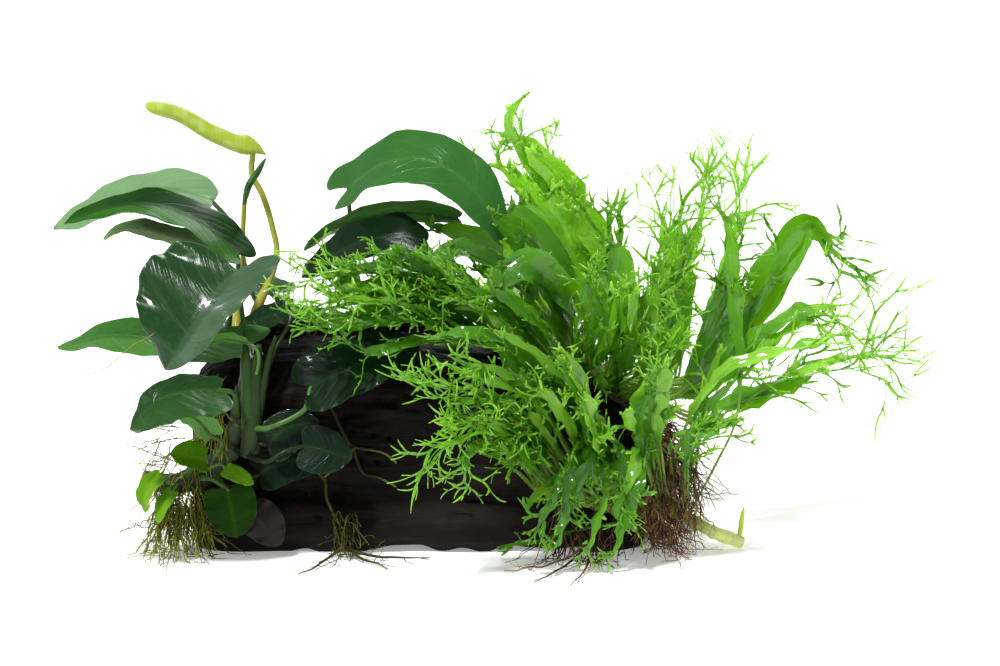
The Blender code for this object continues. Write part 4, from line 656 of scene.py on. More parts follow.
def straps(path, face, half_width, stipe, ruffle, lobed, tone, dice):
    """A batch of frond blades with their stalks, and the paths' frames and half widths.

    Half width is a thin round stalk's up to the stipe's share of the length, and then the lance outline, made
    uneven by slow waves that differ from margin to margin by the share lobed. Height over the path is a fold,
    plus ruffles towards the margin. The blade leans to and fro about its path, the more the further out.
    """
    count, rows = path.shape[:2]
    half_width, stipe, ruffle, lobed = (np.reshape(value, (-1, 1)) for value in (half_width, stipe, ruffle, lobed))
    tangent, side, normal = frames(path, face, 2 * rows // 3)
    s = np.linspace(0, 1, rows)[None]
    on_blade = np.clip((s - stipe) / (1 - stipe), 0, 1)
    phase = dice.uniform(0, TURN, (4, count, 1))
    lean = (1.6 * ruffle * np.sin(TURN * 1.3 * s + phase[0]) * s)[..., None]
    side, normal = side * np.cos(lean) + normal * np.sin(lean), normal * np.cos(lean) - side * np.sin(lean)
    length = np.linalg.norm(np.diff(path, axis=1), axis=2).sum(1)[:, None]
    crimp = length * s / (half_width * 2.4 + 4)
    uneven = 1 + 0.10 * np.sin(crimp * 1.7 + phase[0]) + 0.06 * np.sin(crimp * 4.1 + phase[1])
    blade = np.clip(on_blade / 0.12, 0, 1)
    half = 0.62 + (half_width * np.interp(on_blade, *FROND_WIDTH.T) * uneven - 0.62) * blade
    half, s, blade, crimp, phase = (v[..., None] for v in (np.maximum(half, 0.45), s, blade, crimp, phase))
    u, way = STRAP_RING, np.sign(STRAP_RING)
    margin = np.sin(crimp * 2.9 + 2.0 * way + phase[3])
    margin = margin + 0.6 * np.sin(crimp * 6.7 + phase[2] * way)
    x = half * u * (1 + lobed[..., None] * margin * blade)
    fold = 0.14 * (np.sqrt(x**2 + 0.5) - math.sqrt(0.5)) * blade
    wave = np.sin(TURN * crimp * 0.55 + phase[2] + 1.4 * way)
    wave = wave + 0.5 * np.sin(TURN * crimp * 1.13 + phase[3] * way)
    height = fold + (ruffle * half_width)[..., None] * np.abs(u) ** 1.7 * wave * blade
    flatness = 0.18 + 0.5 * (1 - blade)
    thick = flatness * np.sqrt(np.maximum(1 - u**4, 0)) + 0.30 * np.exp(-((x / 0.55) ** 2)) * (1 - 0.6 * s)
    height = height + np.where(STRAP_UNDER > 0, -thick, thick * 0.8)
    points = path[:, :, None] + side[:, :, None] * x[..., None] + normal[:, :, None] * height[..., None]
    rib = np.exp(-((x / 0.7) ** 2)) * (1 - 0.7 * s)
    skin = skins(points, 0, along=s, across=u, rib=rib, under=STRAP_UNDER, tone=np.reshape(tone, (-1, 1, 1)),
                 stalk=1 - blade, tip=0.0)
    return skin, (tangent, side, normal), half[..., 0]


# Tines stay between these depths.
FRONT_LIMIT, BACK_LIMIT = -144.0, 122.5
TINE_Q = np.linspace(0, 1, 5)
TINE_SECTION = np.array([(1, 0), (0, 1), (-1, 0), (0, -1)], float)


def tines(feet, ahead, side, width, reach, tone, forks, dice):
    """Forked tips, fork by fork as whole arrays, in the manner of antlers.

    A tine is a flat ribbon that bends by a random share of its length, sideways and up, and twists about itself.
    One that has forks left runs on nearly straight from its end, and sends off a spur that is turned by 20 to 50
    degrees, to the other side each time, and has fewer forks left. One with none left narrows and rounds off.
    """
    made = []
    left = np.broadcast_to(forks, len(feet)).copy()
    hand = np.where(dice.uniform(size=(len(feet), 1)) < 0.5, -1.0, 1.0)
    while len(feet):
        count = len(feet)
        ends = left < 1
        length = reach * 0.29 * dice.uniform(0.6, 1.4, count)
        up = np.cross(ahead, side)
        bend = side * dice.normal(0, 0.55, (count, 1)) + up * dice.normal(0.0, 0.42, (count, 1)) + (0, 0, 0.10)
        q = TINE_Q[None, :, None]
        path = feet[:, None] + length[:, None, None] * (ahead[:, None] * q + bend[:, None] * q**2 / 2)
        way = unit(ahead[:, None] + bend[:, None] * q)
        flat_side = unit(side[:, None] - dot(side[:, None], way) * way)
        twist = dice.normal(0, 0.8, (count, 1, 1)) * q
        flat_side = flat_side * np.cos(twist) + np.cross(way, flat_side) * np.sin(twist)
        half = width[:, None] / 2 * np.where(ends[:, None], 1 - 0.6 * TINE_Q**2.2, 0.95 + 0.22 * TINE_Q**3)
        half = half[..., None, None]
        flat = np.maximum(0.40 * half, 0.25)
        ring = path[:, :, None] + flat_side[:, :, None] * TINE_SECTION[:, :1] * half
        ring = ring + np.cross(way, flat_side)[:, :, None] * TINE_SECTION[:, 1:] * flat
        ring[..., 1] = np.clip(ring[..., 1], FRONT_LIMIT, BACK_LIMIT)
        ring[..., 2] = np.maximum(ring[..., 2], 0.3)
        tip = np.where(ends, 1.0, 0.6)[:, None, None] * (0.4 + 0.6 * TINE_Q[None, :, None])
        made.append(skins(ring, 0, tip=tip, tone=tone[:, None, None], along=1.0, across=0.5))
        go = ~ends
        if not go.any():
            break
        count = go.sum()
        point, on, off, hand = path[go, -1], way[go, -1], flat_side[go, -1], -hand[go]
        roll = dice.normal(0, 0.5, (count, 1))
        off = unit(off * np.cos(roll) + np.cross(on, off) * np.sin(roll))
        main = np.radians(dice.uniform(3, 18, (count, 1))) * -hand
        spur = np.radians(dice.uniform(20, 50, (count, 1))) * hand
        twice = np.tile(np.arange(count), 2)
        turn = np.concatenate([main, spur])
        is_spur = np.arange(2 * count) >= count
        feet = point[twice] - on[twice] * 0.3
        ahead = unit(on[twice] * np.cos(turn) + off[twice] * np.sin(turn))
        side = unit(off[twice] * np.cos(turn) - on[twice] * np.sin(turn))
        left = np.where(is_spur, np.minimum(left[go][twice] - 1, dice.randint(0, 3, 2 * count)), left[go][twice] - 1)
        width = width[go][twice] * np.where(is_spur, 0.84, 0.94)
        reach, tone, hand = reach[go][twice], tone[go][twice], hand[twice]
    return made


def tip_forks(path, way, half, reach, tone, forks, dice, starts=((-0.55, -24), (0.0, 3), (0.55, 24))):
    """Forks from the blade's end: each starts across the end at a share of its half width and turns by degrees."""
    tangent, side, _ = way
    feet, ahead, across = [], [], []
    for share, degrees in starts:
        turn = np.radians(degrees + dice.normal(0, 7, (len(path), 1)))
        feet.append(path[:, -2] + side[:, -2] * (share * half[:, -2])[:, None])
        ahead.append(tangent[:, -1] * np.cos(turn) + side[:, -1] * np.sin(turn))
        across.append(side[:, -1] * np.cos(turn) - tangent[:, -1] * np.sin(turn))
    many = len(starts)
    width = np.tile(np.clip(half[:, -1] * 1.2, 1.4, 2.8), many)
    length = np.tile(reach, many) * dice.uniform(0.75, 1.1, many * len(path))
    return tines(np.concatenate(feet), np.concatenate(ahead), np.concatenate(across), width, length,
                 np.tile(tone, many), forks, dice)


def side_forks(path, way, half, each, reach, tone, dice):
    """Forks from the margins: at random rows of the outer half, turned out by 20 to 52 degrees."""
    count, rows = path.shape[:2]
    who = np.repeat(np.arange(count), each)
    many = len(who)
    if not many:
        return []
    row = dice.randint(int(rows * 0.5), rows - 1, many)
    hand = np.where(dice.uniform(size=many) < 0.5, -1.0, 1.0)[:, None]
    turn = np.radians(dice.uniform(20, 52, (many, 1))) * hand
    on, off, up = (vectors[who, row] for vectors in way)
    feet = path[who, row] + off * hand * half[who, row][:, None] * 0.8
    ahead = unit(on * np.cos(turn) + off * np.sin(turn) + up * dice.normal(0.05, 0.25, (many, 1)))
    reach, tone = (np.broadcast_to(value, count)[who] for value in (reach, tone))
    return tines(feet, ahead, unit(np.cross(up, ahead)), dice.uniform(1.1, 2.2, many),
                 reach * dice.uniform(0.5, 1.0, many), tone, dice.randint(0, 4, many), dice)


def frond_skins(record, rows=48):
    """One frond of the tables: blade and stalk, the forks at its tip and the forks from its margins."""
    tone, ruffle, forks, share, lobed = record.looks
    dice = np.random.RandomState(record.seed)
    path = smooth(from_foot(record.host, record.along, seen(record.path)), rows)[None]
    skin, way, half = straps(path, record.face, record.half_width * share, record.stipe, ruffle, lobed, tone, dice)
    levels = 1 if record.reach < 9 else 2 if record.reach < 17 else 4
    spread = record.opening / 25
    starts = ((-0.62, -20 * spread), (0.0, 4), (0.62, 20 * spread))
    parts = [skin, *tip_forks(path, way, half, record.reach * 1.05, tone, levels, dice, starts)]
    return parts + side_forks(path, way, half, forks, max(record.reach * 0.8, 16), tone, dice)


# Sprays of smaller fronds that fill the fern. Each row names the frond that they grow beside, by its number in the
# two tables, how many there are, how far they spread from it, their half width and forked reach, and the limits of
# their tones and of how many forks each one's margins have.
Spray = namedtuple("Spray", "beside count spread half_width reach tone side", defaults=((1, 5),))
SPRAY_ROWS, SPRAY_STIPE, SPRAY_RUFFLE = 26, 0.4, 0.35
# How unevenly a frond of a spray is lobed, by its half width.
SPRAY_LOBED = (2, 5), (0.42, 0.12)
# The spray tones, like the fronds', run lower deep in the fern and higher on top, as painted shade and light.
SPRAYS = {
    "fern_spray_left": [
        (23, 6, 8, 2.1, 17, (0.35, 0.65)), (24, 7, 9, 2.1, 17, (0.25, 0.65)), (25, 4, 8, 2.6, 14, (0.15, 0.6)),
        (14, 3, 8, 4.0, 10, (0.1, 0.4), (0, 3)), (16, 6, 9, 2.8, 16, (0.1, 0.65)), (23, 6, 8, 2.4, 13, (0.15, 0.55)),
        (24, 6, 8, 2.4, 13, (0.15, 0.55)),
    ],
    "fern_spray_front": [
        (17, 6, 9, 3.0, 16, (0.1, 0.6)), (18, 7, 10, 2.6, 18, (0.1, 0.7)), (19, 8, 10, 2.6, 20, (0.15, 0.75)),
        (20, 8, 10, 2.4, 19, (0.15, 0.75)), (21, 5, 9, 2.6, 14, (0.1, 0.6)), (22, 5, 8, 2.6, 14, (0.15, 0.7)),
        (27, 4, 8, 2.0, 15, (0.2, 0.7)), (28, 3, 8, 2.2, 10, (0.2, 0.6)), (29, 5, 9, 2.8, 15, (0.15, 0.7)),
    ],
    "fern_spray_middle": [
        (30, 7, 9, 3.0, 16, (0.15, 0.75)), (31, 7, 9, 3.0, 16, (0.15, 0.75)), (32, 5, 9, 3.2, 14, (0.1, 0.6)),
        (33, 5, 9, 3.2, 14, (0.1, 0.5)), (34, 6, 9, 4.0, 16, (0.2, 0.8), (0, 3)),
        (35, 6, 9, 4.0, 16, (0.15, 0.7), (0, 3)), (36, 5, 9, 3.4, 17, (0.2, 0.8), (0, 4)),
        (15, 4, 8, 4.4, 9, (0.05, 0.35), (0, 3)), (13, 4, 8, 5.0, 9, (0.1, 0.5), (0, 2)),
    ],
    "fern_spray_right": [
        (5, 3, 9, 4.6, 24, (0.3, 0.8), (0, 3)), (12, 4, 10, 4.6, 18, (0.1, 0.7), (0, 3)),
        (4, 4, 9, 6.0, 12, (0.2, 0.8), (0, 2)), (8, 2, 8, 4.0, 18, (0.25, 0.6), (1, 4)),
        (9, 2, 8, 2.6, 28, (0.4, 0.75), (0, 3)), (10, 2, 7, 2.4, 30, (0.4, 0.8), (0, 3)),
        (26, 5, 8, 2.2, 15, (0.4, 0.75)),
    ],
    "fern_spray_back": [
        (1, 3, 9, 5.5, 14, (0.5, 0.95), (0, 3)), (2, 4, 9, 5.5, 10, (0.5, 0.9), (0, 2)),
        (3, 4, 9, 5.0, 10, (0.4, 0.9), (0, 3)), (6, 4, 9, 5.0, 28, (0.35, 0.85), (0, 3)),
        (11, 2, 8, 3.2, 26, (0.35, 0.75), (0, 3)), (37, 4, 9, 4.4, 12, (0.15, 0.7), (0, 3)),
        (38, 5, 9, 4.6, 12, (0.3, 0.85), (0, 3)), (39, 5, 9, 4.6, 12, (0.3, 0.85), (0, 3)),
        (40, 4, 9, 4.6, 12, (0.3, 0.85), (0, 3)), (41, 4, 9, 4.6, 12, (0.3, 0.8), (0, 3)),
        (42, 4, 9, 3.8, 12, (0.2, 0.6)), (43, 4, 9, 3.8, 12, (0.2, 0.6)),
    ],
}

# Single fronds too many for the solids, each with its looks.
MORE_FRONDS = [
    Frond(FERN_FRONT, 0.62, [(84, 46, -74), (78, 34, -86), (72, 16, -92), (69, 3, -90)], 2.2, 14, 239, OUTWARD,
        (0.4, 0.35, 9, 1.0, 0.4)),
    Frond(FERN_FRONT, 0.52, [(98, 44, -74), (93, 30, -84), (88, 12, -90), (83, 0, -88)], 2.1, 14, 241, OUTWARD,
        (0.5, 0.35, 9, 1.0, 0.4)),
    Frond(FERN_FRONT, 0.46, [(106, 42, -72), (104, 24, -84), (100, 6, -86), (95, -2, -86)], 2.0, 12, 251, OUTWARD,
        (0.4, 0.35, 9, 1.0, 0.4)),
    Frond(FERN_FRONT, 0.66, [(76, 44, -74), (68, 30, -88), (62, 18, -94), (58, 10, -94)], 2.0, 12, 257, OUTWARD,
        (0.2, 0.35, 9, 1.0, 0.4)),
    Frond(FERN_BACK, 0.38, [(93, 111, 36), (88, 136, 38), (77, 166, 36), (60, 190, 32), (47, 206, 28), (44, 217, 26),
        (50, 226, 25), (55, 230, 24)], 2.3, 3, 217, OUTWARD, (0.9, 0.2, 0, 1.0, 0.1)),
    Frond(FERN_TOP, 0.8, [(28, 122, -34), (14, 131, -46), (-4, 138, -50), (-22, 141, -52), (-34, 142, -54)], 5, 18, 223,
        LEVEL, (0.4, 0.3, 3, 1.0, 0.15)),
    Frond(FERN_TOP, 0.88, [(24, 108, -44), (8, 116, -58), (-10, 118, -64), (-30, 115, -66), (-44, 112, -66)], 4.6, 20,
        227, LEVEL, (0.35, 0.3, 4, 1.0, 0.15)),
    Frond(FERN_TOP, 0.97, [(18, 104, -44), (4, 106, -60), (-12, 103, -66), (-28, 99, -68)], 3.4, 18, 229, LEVEL,
        (0.3, 0.3, 4, 1.0, 0.15)),
    Frond(FERN_TOP, 0.7, [(48, 106, -34), (34, 118, -44), (18, 126, -50), (2, 128, -52), (-10, 124, -54)], 6, 9, 233,
        LEVEL, (0.15, 0.2, 2, 1.0, 0.1)),
    Frond(FERN_TOP, 0.46, [(86, 108, -12), (66, 128, -8), (46, 146, -6), (26, 158, -4), (8, 162, -2)], 6.5, 10, 161,
        LEVEL, (0.22, 0.12, 1, 1.0, 0.08)),
    Frond(FERN_TOP, 0.38, [(90, 103, 2), (85, 116, 6), (75, 131, 8), (64, 151, 8), (52, 166, 6), (44, 172, 4)], 8, 8,
        163, OUTWARD, (0.35, 0.12, 0, 1.0, 0.06)),
    Frond(FERN_TOP, 0.36, [(86, 108, 18), (73, 135, 20), (64, 156, 20), (52, 176, 18)], 9, 10, 167, OUTWARD,
        (0.7, 0.12, 1, 1.0, 0.08)),
    Frond(FERN_BACK, 0.36, [(92, 106, 28), (87, 126, 26), (77, 150, 24), (70, 166, 24), (65, 180, 24)], 7, 12, 173,
        OUTWARD, (0.8, 0.15, 1, 1.0, 0.08)),
    Frond(FERN_BACK, 0.26, [(94, 103, 16), (95, 126, 14), (92, 148, 12), (85, 163, 12), (78, 172, 10)], 7.5, 10, 179,
        OUTWARD, (0.75, 0.15, 1, 1.0, 0.1)),
    Frond(FERN_TOP, 0.28, [(102, 103, -8), (102, 128, -8), (100, 142, -6), (97, 154, -6)], 6.5, 10, 181, OUTWARD,
        (0.5, 0.15, 1, 1.0, 0.1)),
    Frond(FERN_TOP, 0.5, [(70, 112, -18), (55, 133, -20), (48, 146, -22), (42, 157, -24)], 6.5, 5, 191, OUTWARD,
        (0.95, 0.12, 0, 1.0, 0.06)),
    Frond(FERN_TOP, 0.52, [(76, 112, -38), (72, 132, -48), (60, 142, -54), (46, 141, -57), (37, 131, -58)], 7.5, 5, 193,
        OUTWARD, (0.3, 0.55, 0, 1.0, 0.12)),
    Frond(FERN_FRONT, 0.45, [(112, 58, -72), (108, 66, -84), (102, 70, -92)], 5.5, 6, 197, OUTWARD,
        (0.7, 0.25, 0, 1.0, 0.1)),
    Frond(FERN_FRONT, 0.28, [(137.5, 34, -50), (139.5, 56, -52), (143, 80, -50), (150, 101, -48)], 2, 8, 199, OUTWARD,
        (0.6, 0.1, 0, 1.0, 0.05)),
    Frond(FERN_BACK, 0.14, [(122, 92, 34), (126, 124, 40), (134, 150, 42), (141, 168, 42)], 2.4, 30, 263, OUTWARD,
        (0.85, 0.2, 7, 1.0, 0.2)),
    Frond(FERN_BACK, 0.06, [(136, 84, 34), (146, 120, 36), (154, 150, 36), (160, 170, 34)], 2.2, 28, 269, OUTWARD,
        (0.95, 0.2, 7, 1.0, 0.2)),
    Frond(FERN_BACK, 0.12, [(124, 90, 30), (124, 130, 34), (122, 158, 36), (120, 170, 36)], 2.2, 26, 271, OUTWARD,
        (0.9, 0.2, 6, 1.0, 0.2)),
    Frond(FERN_BACK, 0.0, [(146, 68, 16), (176, 84, 20), (204, 95, 22), (222, 98, 22)], 2.4, 26, 277, LEVEL,
        (0.8, 0.3, 6, 1.0, 0.2)),
    Frond(FERN_BACK, 0.5, [(88, 120, 40), (66, 160, 38), (48, 184, 34), (38, 194, 30)], 2.4, 22, 281, OUTWARD,
        (0.9, 0.2, 6, 1.0, 0.2)),
    Frond(FERN_BACK, 0.44, [(90, 118, 40), (74, 160, 42), (58, 190, 36), (51, 203, 30)], 2.2, 18, 283, OUTWARD,
        (0.85, 0.2, 5, 1.0, 0.2)),
    Frond(FERN_TOP, 0.9, [(20, 112, -44), (2, 128, -58), (-18, 134, -62), (-36, 134, -62), (-50, 132, -60)], 4.2, 15,
        307, LEVEL, (0.45, 0.3, 9, 1.0, 0.35)),
    Frond(FERN_TOP, 0.86, [(22, 112, -44), (4, 124, -60), (-18, 127, -66), (-38, 124, -66), (-52, 120, -64)], 4.2, 14,
        311, LEVEL, (0.35, 0.3, 9, 1.0, 0.35)),
    Frond(FERN_TOP, 0.92, [(18, 108, -44), (0, 118, -62), (-22, 118, -68), (-42, 114, -68), (-55, 112, -66)], 3.6, 14,
        313, LEVEL, (0.3, 0.3, 9, 1.0, 0.35)),
    Frond(FERN_TOP, 0.8, [(26, 118, -36), (8, 134, -52), (-14, 141, -58), (-34, 141, -58), (-48, 138, -56)], 4.2, 12,
        317, LEVEL, (0.45, 0.3, 8, 1.0, 0.3)),
    Frond(FERN_FRONT, 0.55, [(74, 10, -62), (62, 6, -62), (50, 4, -60), (40, 2, -60)], 1.8, 7, 211, LEVEL,
        (0.25, 0.2, 3, 1.0, 0.2)),
]


def spray_skins(spray, seed):
    """The fronds of one spray: each follows its neighbour's path, pushed aside in a random way that grows along it."""
    dice = np.random.RandomState(seed)
    record = (FERN_FRONDS + SMALL_FRONDS)[spray.beside - 1]
    count = spray.count
    knots = from_foot(record.host, record.along, seen(record.path))
    place = np.linspace(0, 1, len(knots))[None, :, None]
    spread = spray.spread * dice.uniform(0.5, 1.0, (count, 1, 1))
    aside = unit(dice.normal(0, 1, (count, 1, 3))) * np.clip(place * 2, 0.1, 1)
    lines = knots + spread * (aside + dice.normal(0, 0.16, (count, len(knots), 3)) * place)
    ends = dice.uniform(0.62, 1.04, count)
    path = np.stack([read_along(smooth(line, 60), np.linspace(0, end, SPRAY_ROWS)) for line, end in zip(lines, ends)])
    tone = np.clip(1.35 * dice.uniform(*spray.tone, count) - 0.17, 0.02, 1)
    face = np.array(record.face) + dice.normal(0, 0.4, (count, 3))
    width = spray.half_width * dice.uniform(0.7, 1.4, count)
    lobed = np.interp(width, *SPRAY_LOBED)
    skin, way, half = straps(path, face, width, SPRAY_STIPE, SPRAY_RUFFLE, lobed, tone, dice)
    reach = spray.reach * dice.uniform(0.7, 1.3, count)
    forks = tip_forks(path, way, half, reach, tone, int(np.clip(spray.reach / 6 - 0.7, 1, 2)), dice)
    return [skin, *forks, *side_forks(path, way, half, dice.randint(*spray.side, count), reach, tone, dice)]


# Roots.

# The least height of a root's centre line.
ROOT_FLOOR = 0.5


def creeping(starts, heading, length, steps, wander, droop, dice):
    """Root paths as whole arrays: each step turns by a random share, sinks, and runs on along the floor it meets."""
    count = len(starts)
    turns = dice.normal(0, wander, (count, steps, 3))
    kinks = np.cumsum(turns, axis=1) * 0.55 + turns
    fall = np.array([0.0, 0.0, -1.0]) * droop * np.linspace(0.2, 1.0, steps)[None, :, None]
    way = unit(np.asarray(heading)[:, None] + kinks + fall)
    first = np.asarray(starts)[:, None]
    path = np.concatenate([first, first + np.cumsum(way * (length / steps)[:, None, None], axis=1)], axis=1)
    rise, z = dice.uniform(0, 1.6, (count, 1)), path[..., 2]
    z = np.where(z < ROOT_FLOOR + rise, ROOT_FLOOR + rise * 0.5 + 0.05 * (z - ROOT_FLOOR), z)
    path[..., 2] = np.maximum(z, ROOT_FLOOR)
    return path


def root_skins(path, start, end, tone, columns=4):
    """Root paths as tubes that taper from the radius start to end, each one number or one for each root."""
    taper = np.linspace(0, 1, path.shape[1])[None]
    radius = np.reshape(start, (-1, 1)) * (1 - taper) + np.reshape(end, (-1, 1)) * taper
    return skins(tubes(path, radius, columns), 0, along=taper[..., None], tone=np.reshape(tone, (-1, 1, 1)))


def leaning(dice, count, *ways):
    """Random directions whose x, y and z are each drawn about a mean, with a spread."""
    return unit(np.stack([dice.normal(mean, spread, count) for mean, spread in ways], axis=-1))


def grown(starts, heading, length, steps, wander, droop, start, end, tone, dice):
    """Creeping roots as paths and skins. Length is drawn between two limits, and so are start and tone if a pair."""
    count = len(starts)
    path = creeping(starts, heading, dice.uniform(*length, count), steps, wander, droop, dice)
    start, tone = (dice.uniform(*value, count) if isinstance(value, tuple) else value for value in (start, tone))
    return path, root_skins(path, start, end, tone)


def branch_roots(path, each, length, radius, dice):
    """Fine side roots that leave root paths at random rows, turned well away from them."""
    count, rows = path.shape[:2]
    who = np.repeat(np.arange(count), each)
    many = len(who)
    row = dice.randint(1, rows - 1, many)
    along = unit(path[who, row + 1] - path[who, row - 1])
    away = unit(np.cross(along, dice.normal(0, 1, (many, 3))))
    side = creeping(path[who, row], along * 0.6 + away, dice.uniform(0.4, 1.2, many) * length, 5, 0.25, 0.3, dice)
    return root_skins(side, radius, radius * 0.5, dice.uniform(0.4, 1, many), 3)


def box_points(dice, count, low, high):
    """Random points in a box."""
    return dice.uniform(low, high, (count, 3))


# The one long hair that reaches out to the left, on the front sheet.
LONG_HAIR = [(-128, 113, -60), (-136.5, 107, -62), (-143.5, 103.5, -62), (-155, 93.5, -62), (-161.5, 90, -62),
             (-171.5, 88.5, -62)]


def left_tuft():
    """The hanging olive roots at the log's left end, and long hairs round the rhizome above."""
    dice = np.random.RandomState(201)
    starts = box_points(dice, 190, (-127, -60, 20), (-105, -48, 38))
    out = np.stack([(starts[:, 0] + 116) / 12, (starts[:, 1] + 54) / 10, -1.4 + 0 * starts[:, 0]], axis=-1)
    out = unit(out * (0.4, 0.4, 1)) + dice.normal(0, 0.22, starts.shape)
    path, tuft = grown(starts, out, (14, 48), 14, 0.21, 0.3, (0.25, 0.5), 0.14, (0, 1), dice)
    branches = branch_roots(path[::2], 2, 9, 0.17, dice)
    hairs = box_points(dice, 44, (-126, -56, 40), (-104, -50, 66))
    away = leaning(dice, len(hairs), (-0.8, 0.4), (-0.3, 0.3), (-0.5, 0.5))
    _, loose = grown(hairs, away, (12, 32), 12, 0.12, 0.3, 0.32, 0.2, (0.6, 1), dice)
    stalks = box_points(dice, 60, (-104, -56, 60), (-92, -50, 92))
    down = leaning(dice, len(stalks), (-0.25, 0.3), (-0.3, 0.2), (-0.9, 0.3))
    _, pale = grown(stalks, down, (10, 30), 10, 0.22, 0.2, 0.27, 0.14, 1.0, dice)
    line = smooth(seen(LONG_HAIR), 30)
    return [tuft, branches, loose, pale, root_skins(line[None], 0.3, 0.25, 1.0)]


def creeper_roots():
    """Short dark roots that hang from the anubias rhizome on the log's top down over the log's front."""
    dice = np.random.RandomState(241)
    line, _ = rhizome_line(ANUBIAS_TOP)
    starts = read_along(line, dice.uniform(0.02, 1, 260))
    starts = starts + unit(dice.normal(0, 1, starts.shape) + (0, -1.2, -0.2)) * 3.4
    starts[::2] = starts[::2] * (1, 0.5, 1) + (0, 0.5 * line[:, 1].mean() - 2.5, -3.0)
    way = leaning(dice, len(starts), (0, 0.7), (-0.9, 0.4), (-0.5, 0.6))
    path, skin = grown(starts, way, (6, 26), 9, 0.3, 0.9, (0.25, 0.5), 0.15, (0, 0.8), dice)
    return [skin, branch_roots(path[::2], 2, 6, 0.17, dice)]


# Where the stray roots start, and the ways that they run.
STRAY_ROOTS = [
    ((110, -30, 34), (1, -0.3, -0.3)), ((112, -24, 28), (1, 0.1, -0.4)), ((114, -20, 40), (0.9, -0.6, -0.2)),
    ((108, -34, 22), (0.8, -0.9, -0.4)), ((116, -10, 20), (1, 0.4, -0.5)), ((112, -36, 16), (0.9, -0.7, -0.6)),
]


def right_tuft():
    """The matted brown roots on the log's right end, those that hang before the stalks, and stray ones that run out."""
    dice = np.random.RandomState(211)
    starts = box_points(dice, 520, (106, -42, 10), (120, 6, 70))
    out = leaning(dice, len(starts), (0.5, 0.4), ((starts[:, 1] + 16) / 40, 0.3), (-0.8, 0.4))
    path, mat = grown(starts, out, (12, 40), 11, 0.28, 0.4, (0.25, 0.55), 0.15, (0, 0.8), dice)
    branches = branch_roots(path[::2], 2, 8, 0.18, dice)
    starts = box_points(dice, 240, (108, -62, 20), (136, -44, 62))
    out = leaning(dice, len(starts), (0.15, 0.4), (-0.15, 0.3), (-1, 0.3))
    _, hanging = grown(starts, out, (10, 34), 11, 0.25, 0.3, (0.25, 0.5), 0.15, (0, 0.7), dice)
    starts, aims = (np.tile(rows, (5, 1)) for rows in zip(*STRAY_ROOTS))
    stray, ends = grown(starts + dice.normal(0, 3, starts.shape), unit(aims), (28, 52), 16, 0.18, 0.35, 0.42, 0.15,
                        (0.2, 0.7), dice)
    return [mat, branches, hanging, ends, branch_roots(stray, 5, 9, 0.18, dice)]


ACROSS_ROOTS = [
    [(-46, 79), (-35, 57), (-30, 53), (-17, 51), (-11, 46)],
    [(-32, 54), (-27, 41), (-20, 39), (-11, 34)],
    [(-60, 49), (-47, -47.5, 40), (-44, -50, 27), (-37, -53, 14)],
    [(-30, 53), (-38, 46), (-46.5, -48, 38)],
]
FLOOR_ROOTS = [
    [(-36, -54, 5), (-44, -66, 2.4), (-50, -80, 1.4), (-56, -92, 1.2)],
    [(-34, -54, 5), (-28, -64, 2.4), (-20, -70, 1.4), (-14, -80, 1.2)],
    [(-34, -54, 4), (-22, -59, 2.2), (-8, -60, 1.4), (6, -59, 1.2)],
]
FERN_FLOOR_ROOTS = [
    [(84, -62, 10), (74, -70, 5), (60, -78, 2), (42, -86, 1.3)],
    [(82, -64, 8), (74, -78, 4), (66, -90, 2), (56, -108, 1.3)],
    [(84, -64, 8), (82, -80, 3), (78, -96, 1.4), (73, -112, 1.3)],
]


def laid_roots(lines, start, end, dice):
    """Roots along given lines, made crooked by a little noise."""
    path = np.stack([smooth(line, 24) for line in lines])
    path = path + 1.4 * (noise(path / 6.0, 31)[..., None] - 0.5) * dice.normal(0, 1, (len(path), 1, 3))
    path[..., 2] = np.maximum(path[..., 2], 0.6)
    return path, root_skins(path, start, end, dice.uniform(0.1, 0.6, len(lines)), 6)


def front_roots():
    """The long roots across the log's front, and the bunch that hangs to the surface and spreads over it."""
    dice = np.random.RandomState(221)
    _, clinging = laid_roots([[front_of_log(*p, 1.6) if len(p) == 2 else p for p in line] for line in ACROSS_ROOTS],
                             1.1, 0.5, dice)
    floor, spread = laid_roots(FLOOR_ROOTS, 0.9, 0.3, dice)
    starts = box_points(dice, 26, (-43, -55, 12), (-30, -50, 24))
    out = unit((0.05, -0.12, -1.0) + dice.normal(0, 0.3, starts.shape))
    path, bunch = grown(starts, out, (16, 40), 14, 0.2, 0.3, 0.42, 0.18, (0, 0.8), dice)
    return [clinging, spread, bunch, branch_roots(floor, 6, 12, 0.25, dice), branch_roots(path, 2, 9, 0.18, dice)]


def fern_floor_roots():
    """The fine fern roots that creep from the front fronds' feet out over the surface."""
    dice = np.random.RandomState(231)
    path, laid = laid_roots(FERN_FLOOR_ROOTS, 0.8, 0.25, dice)
    starts = box_points(dice, 70, (66, -62, 4), (100, -50, 30))
    out = unit((-0.1, -0.5, -0.9) + dice.normal(0, 0.3, starts.shape))
    _, loose = grown(starts, out, (14, 44), 13, 0.2, 0.3, 0.34, 0.15, (0, 0.6), dice)
    return [laid, loose, branch_roots(path, 7, 10, 0.2, dice)]


# Finishes.


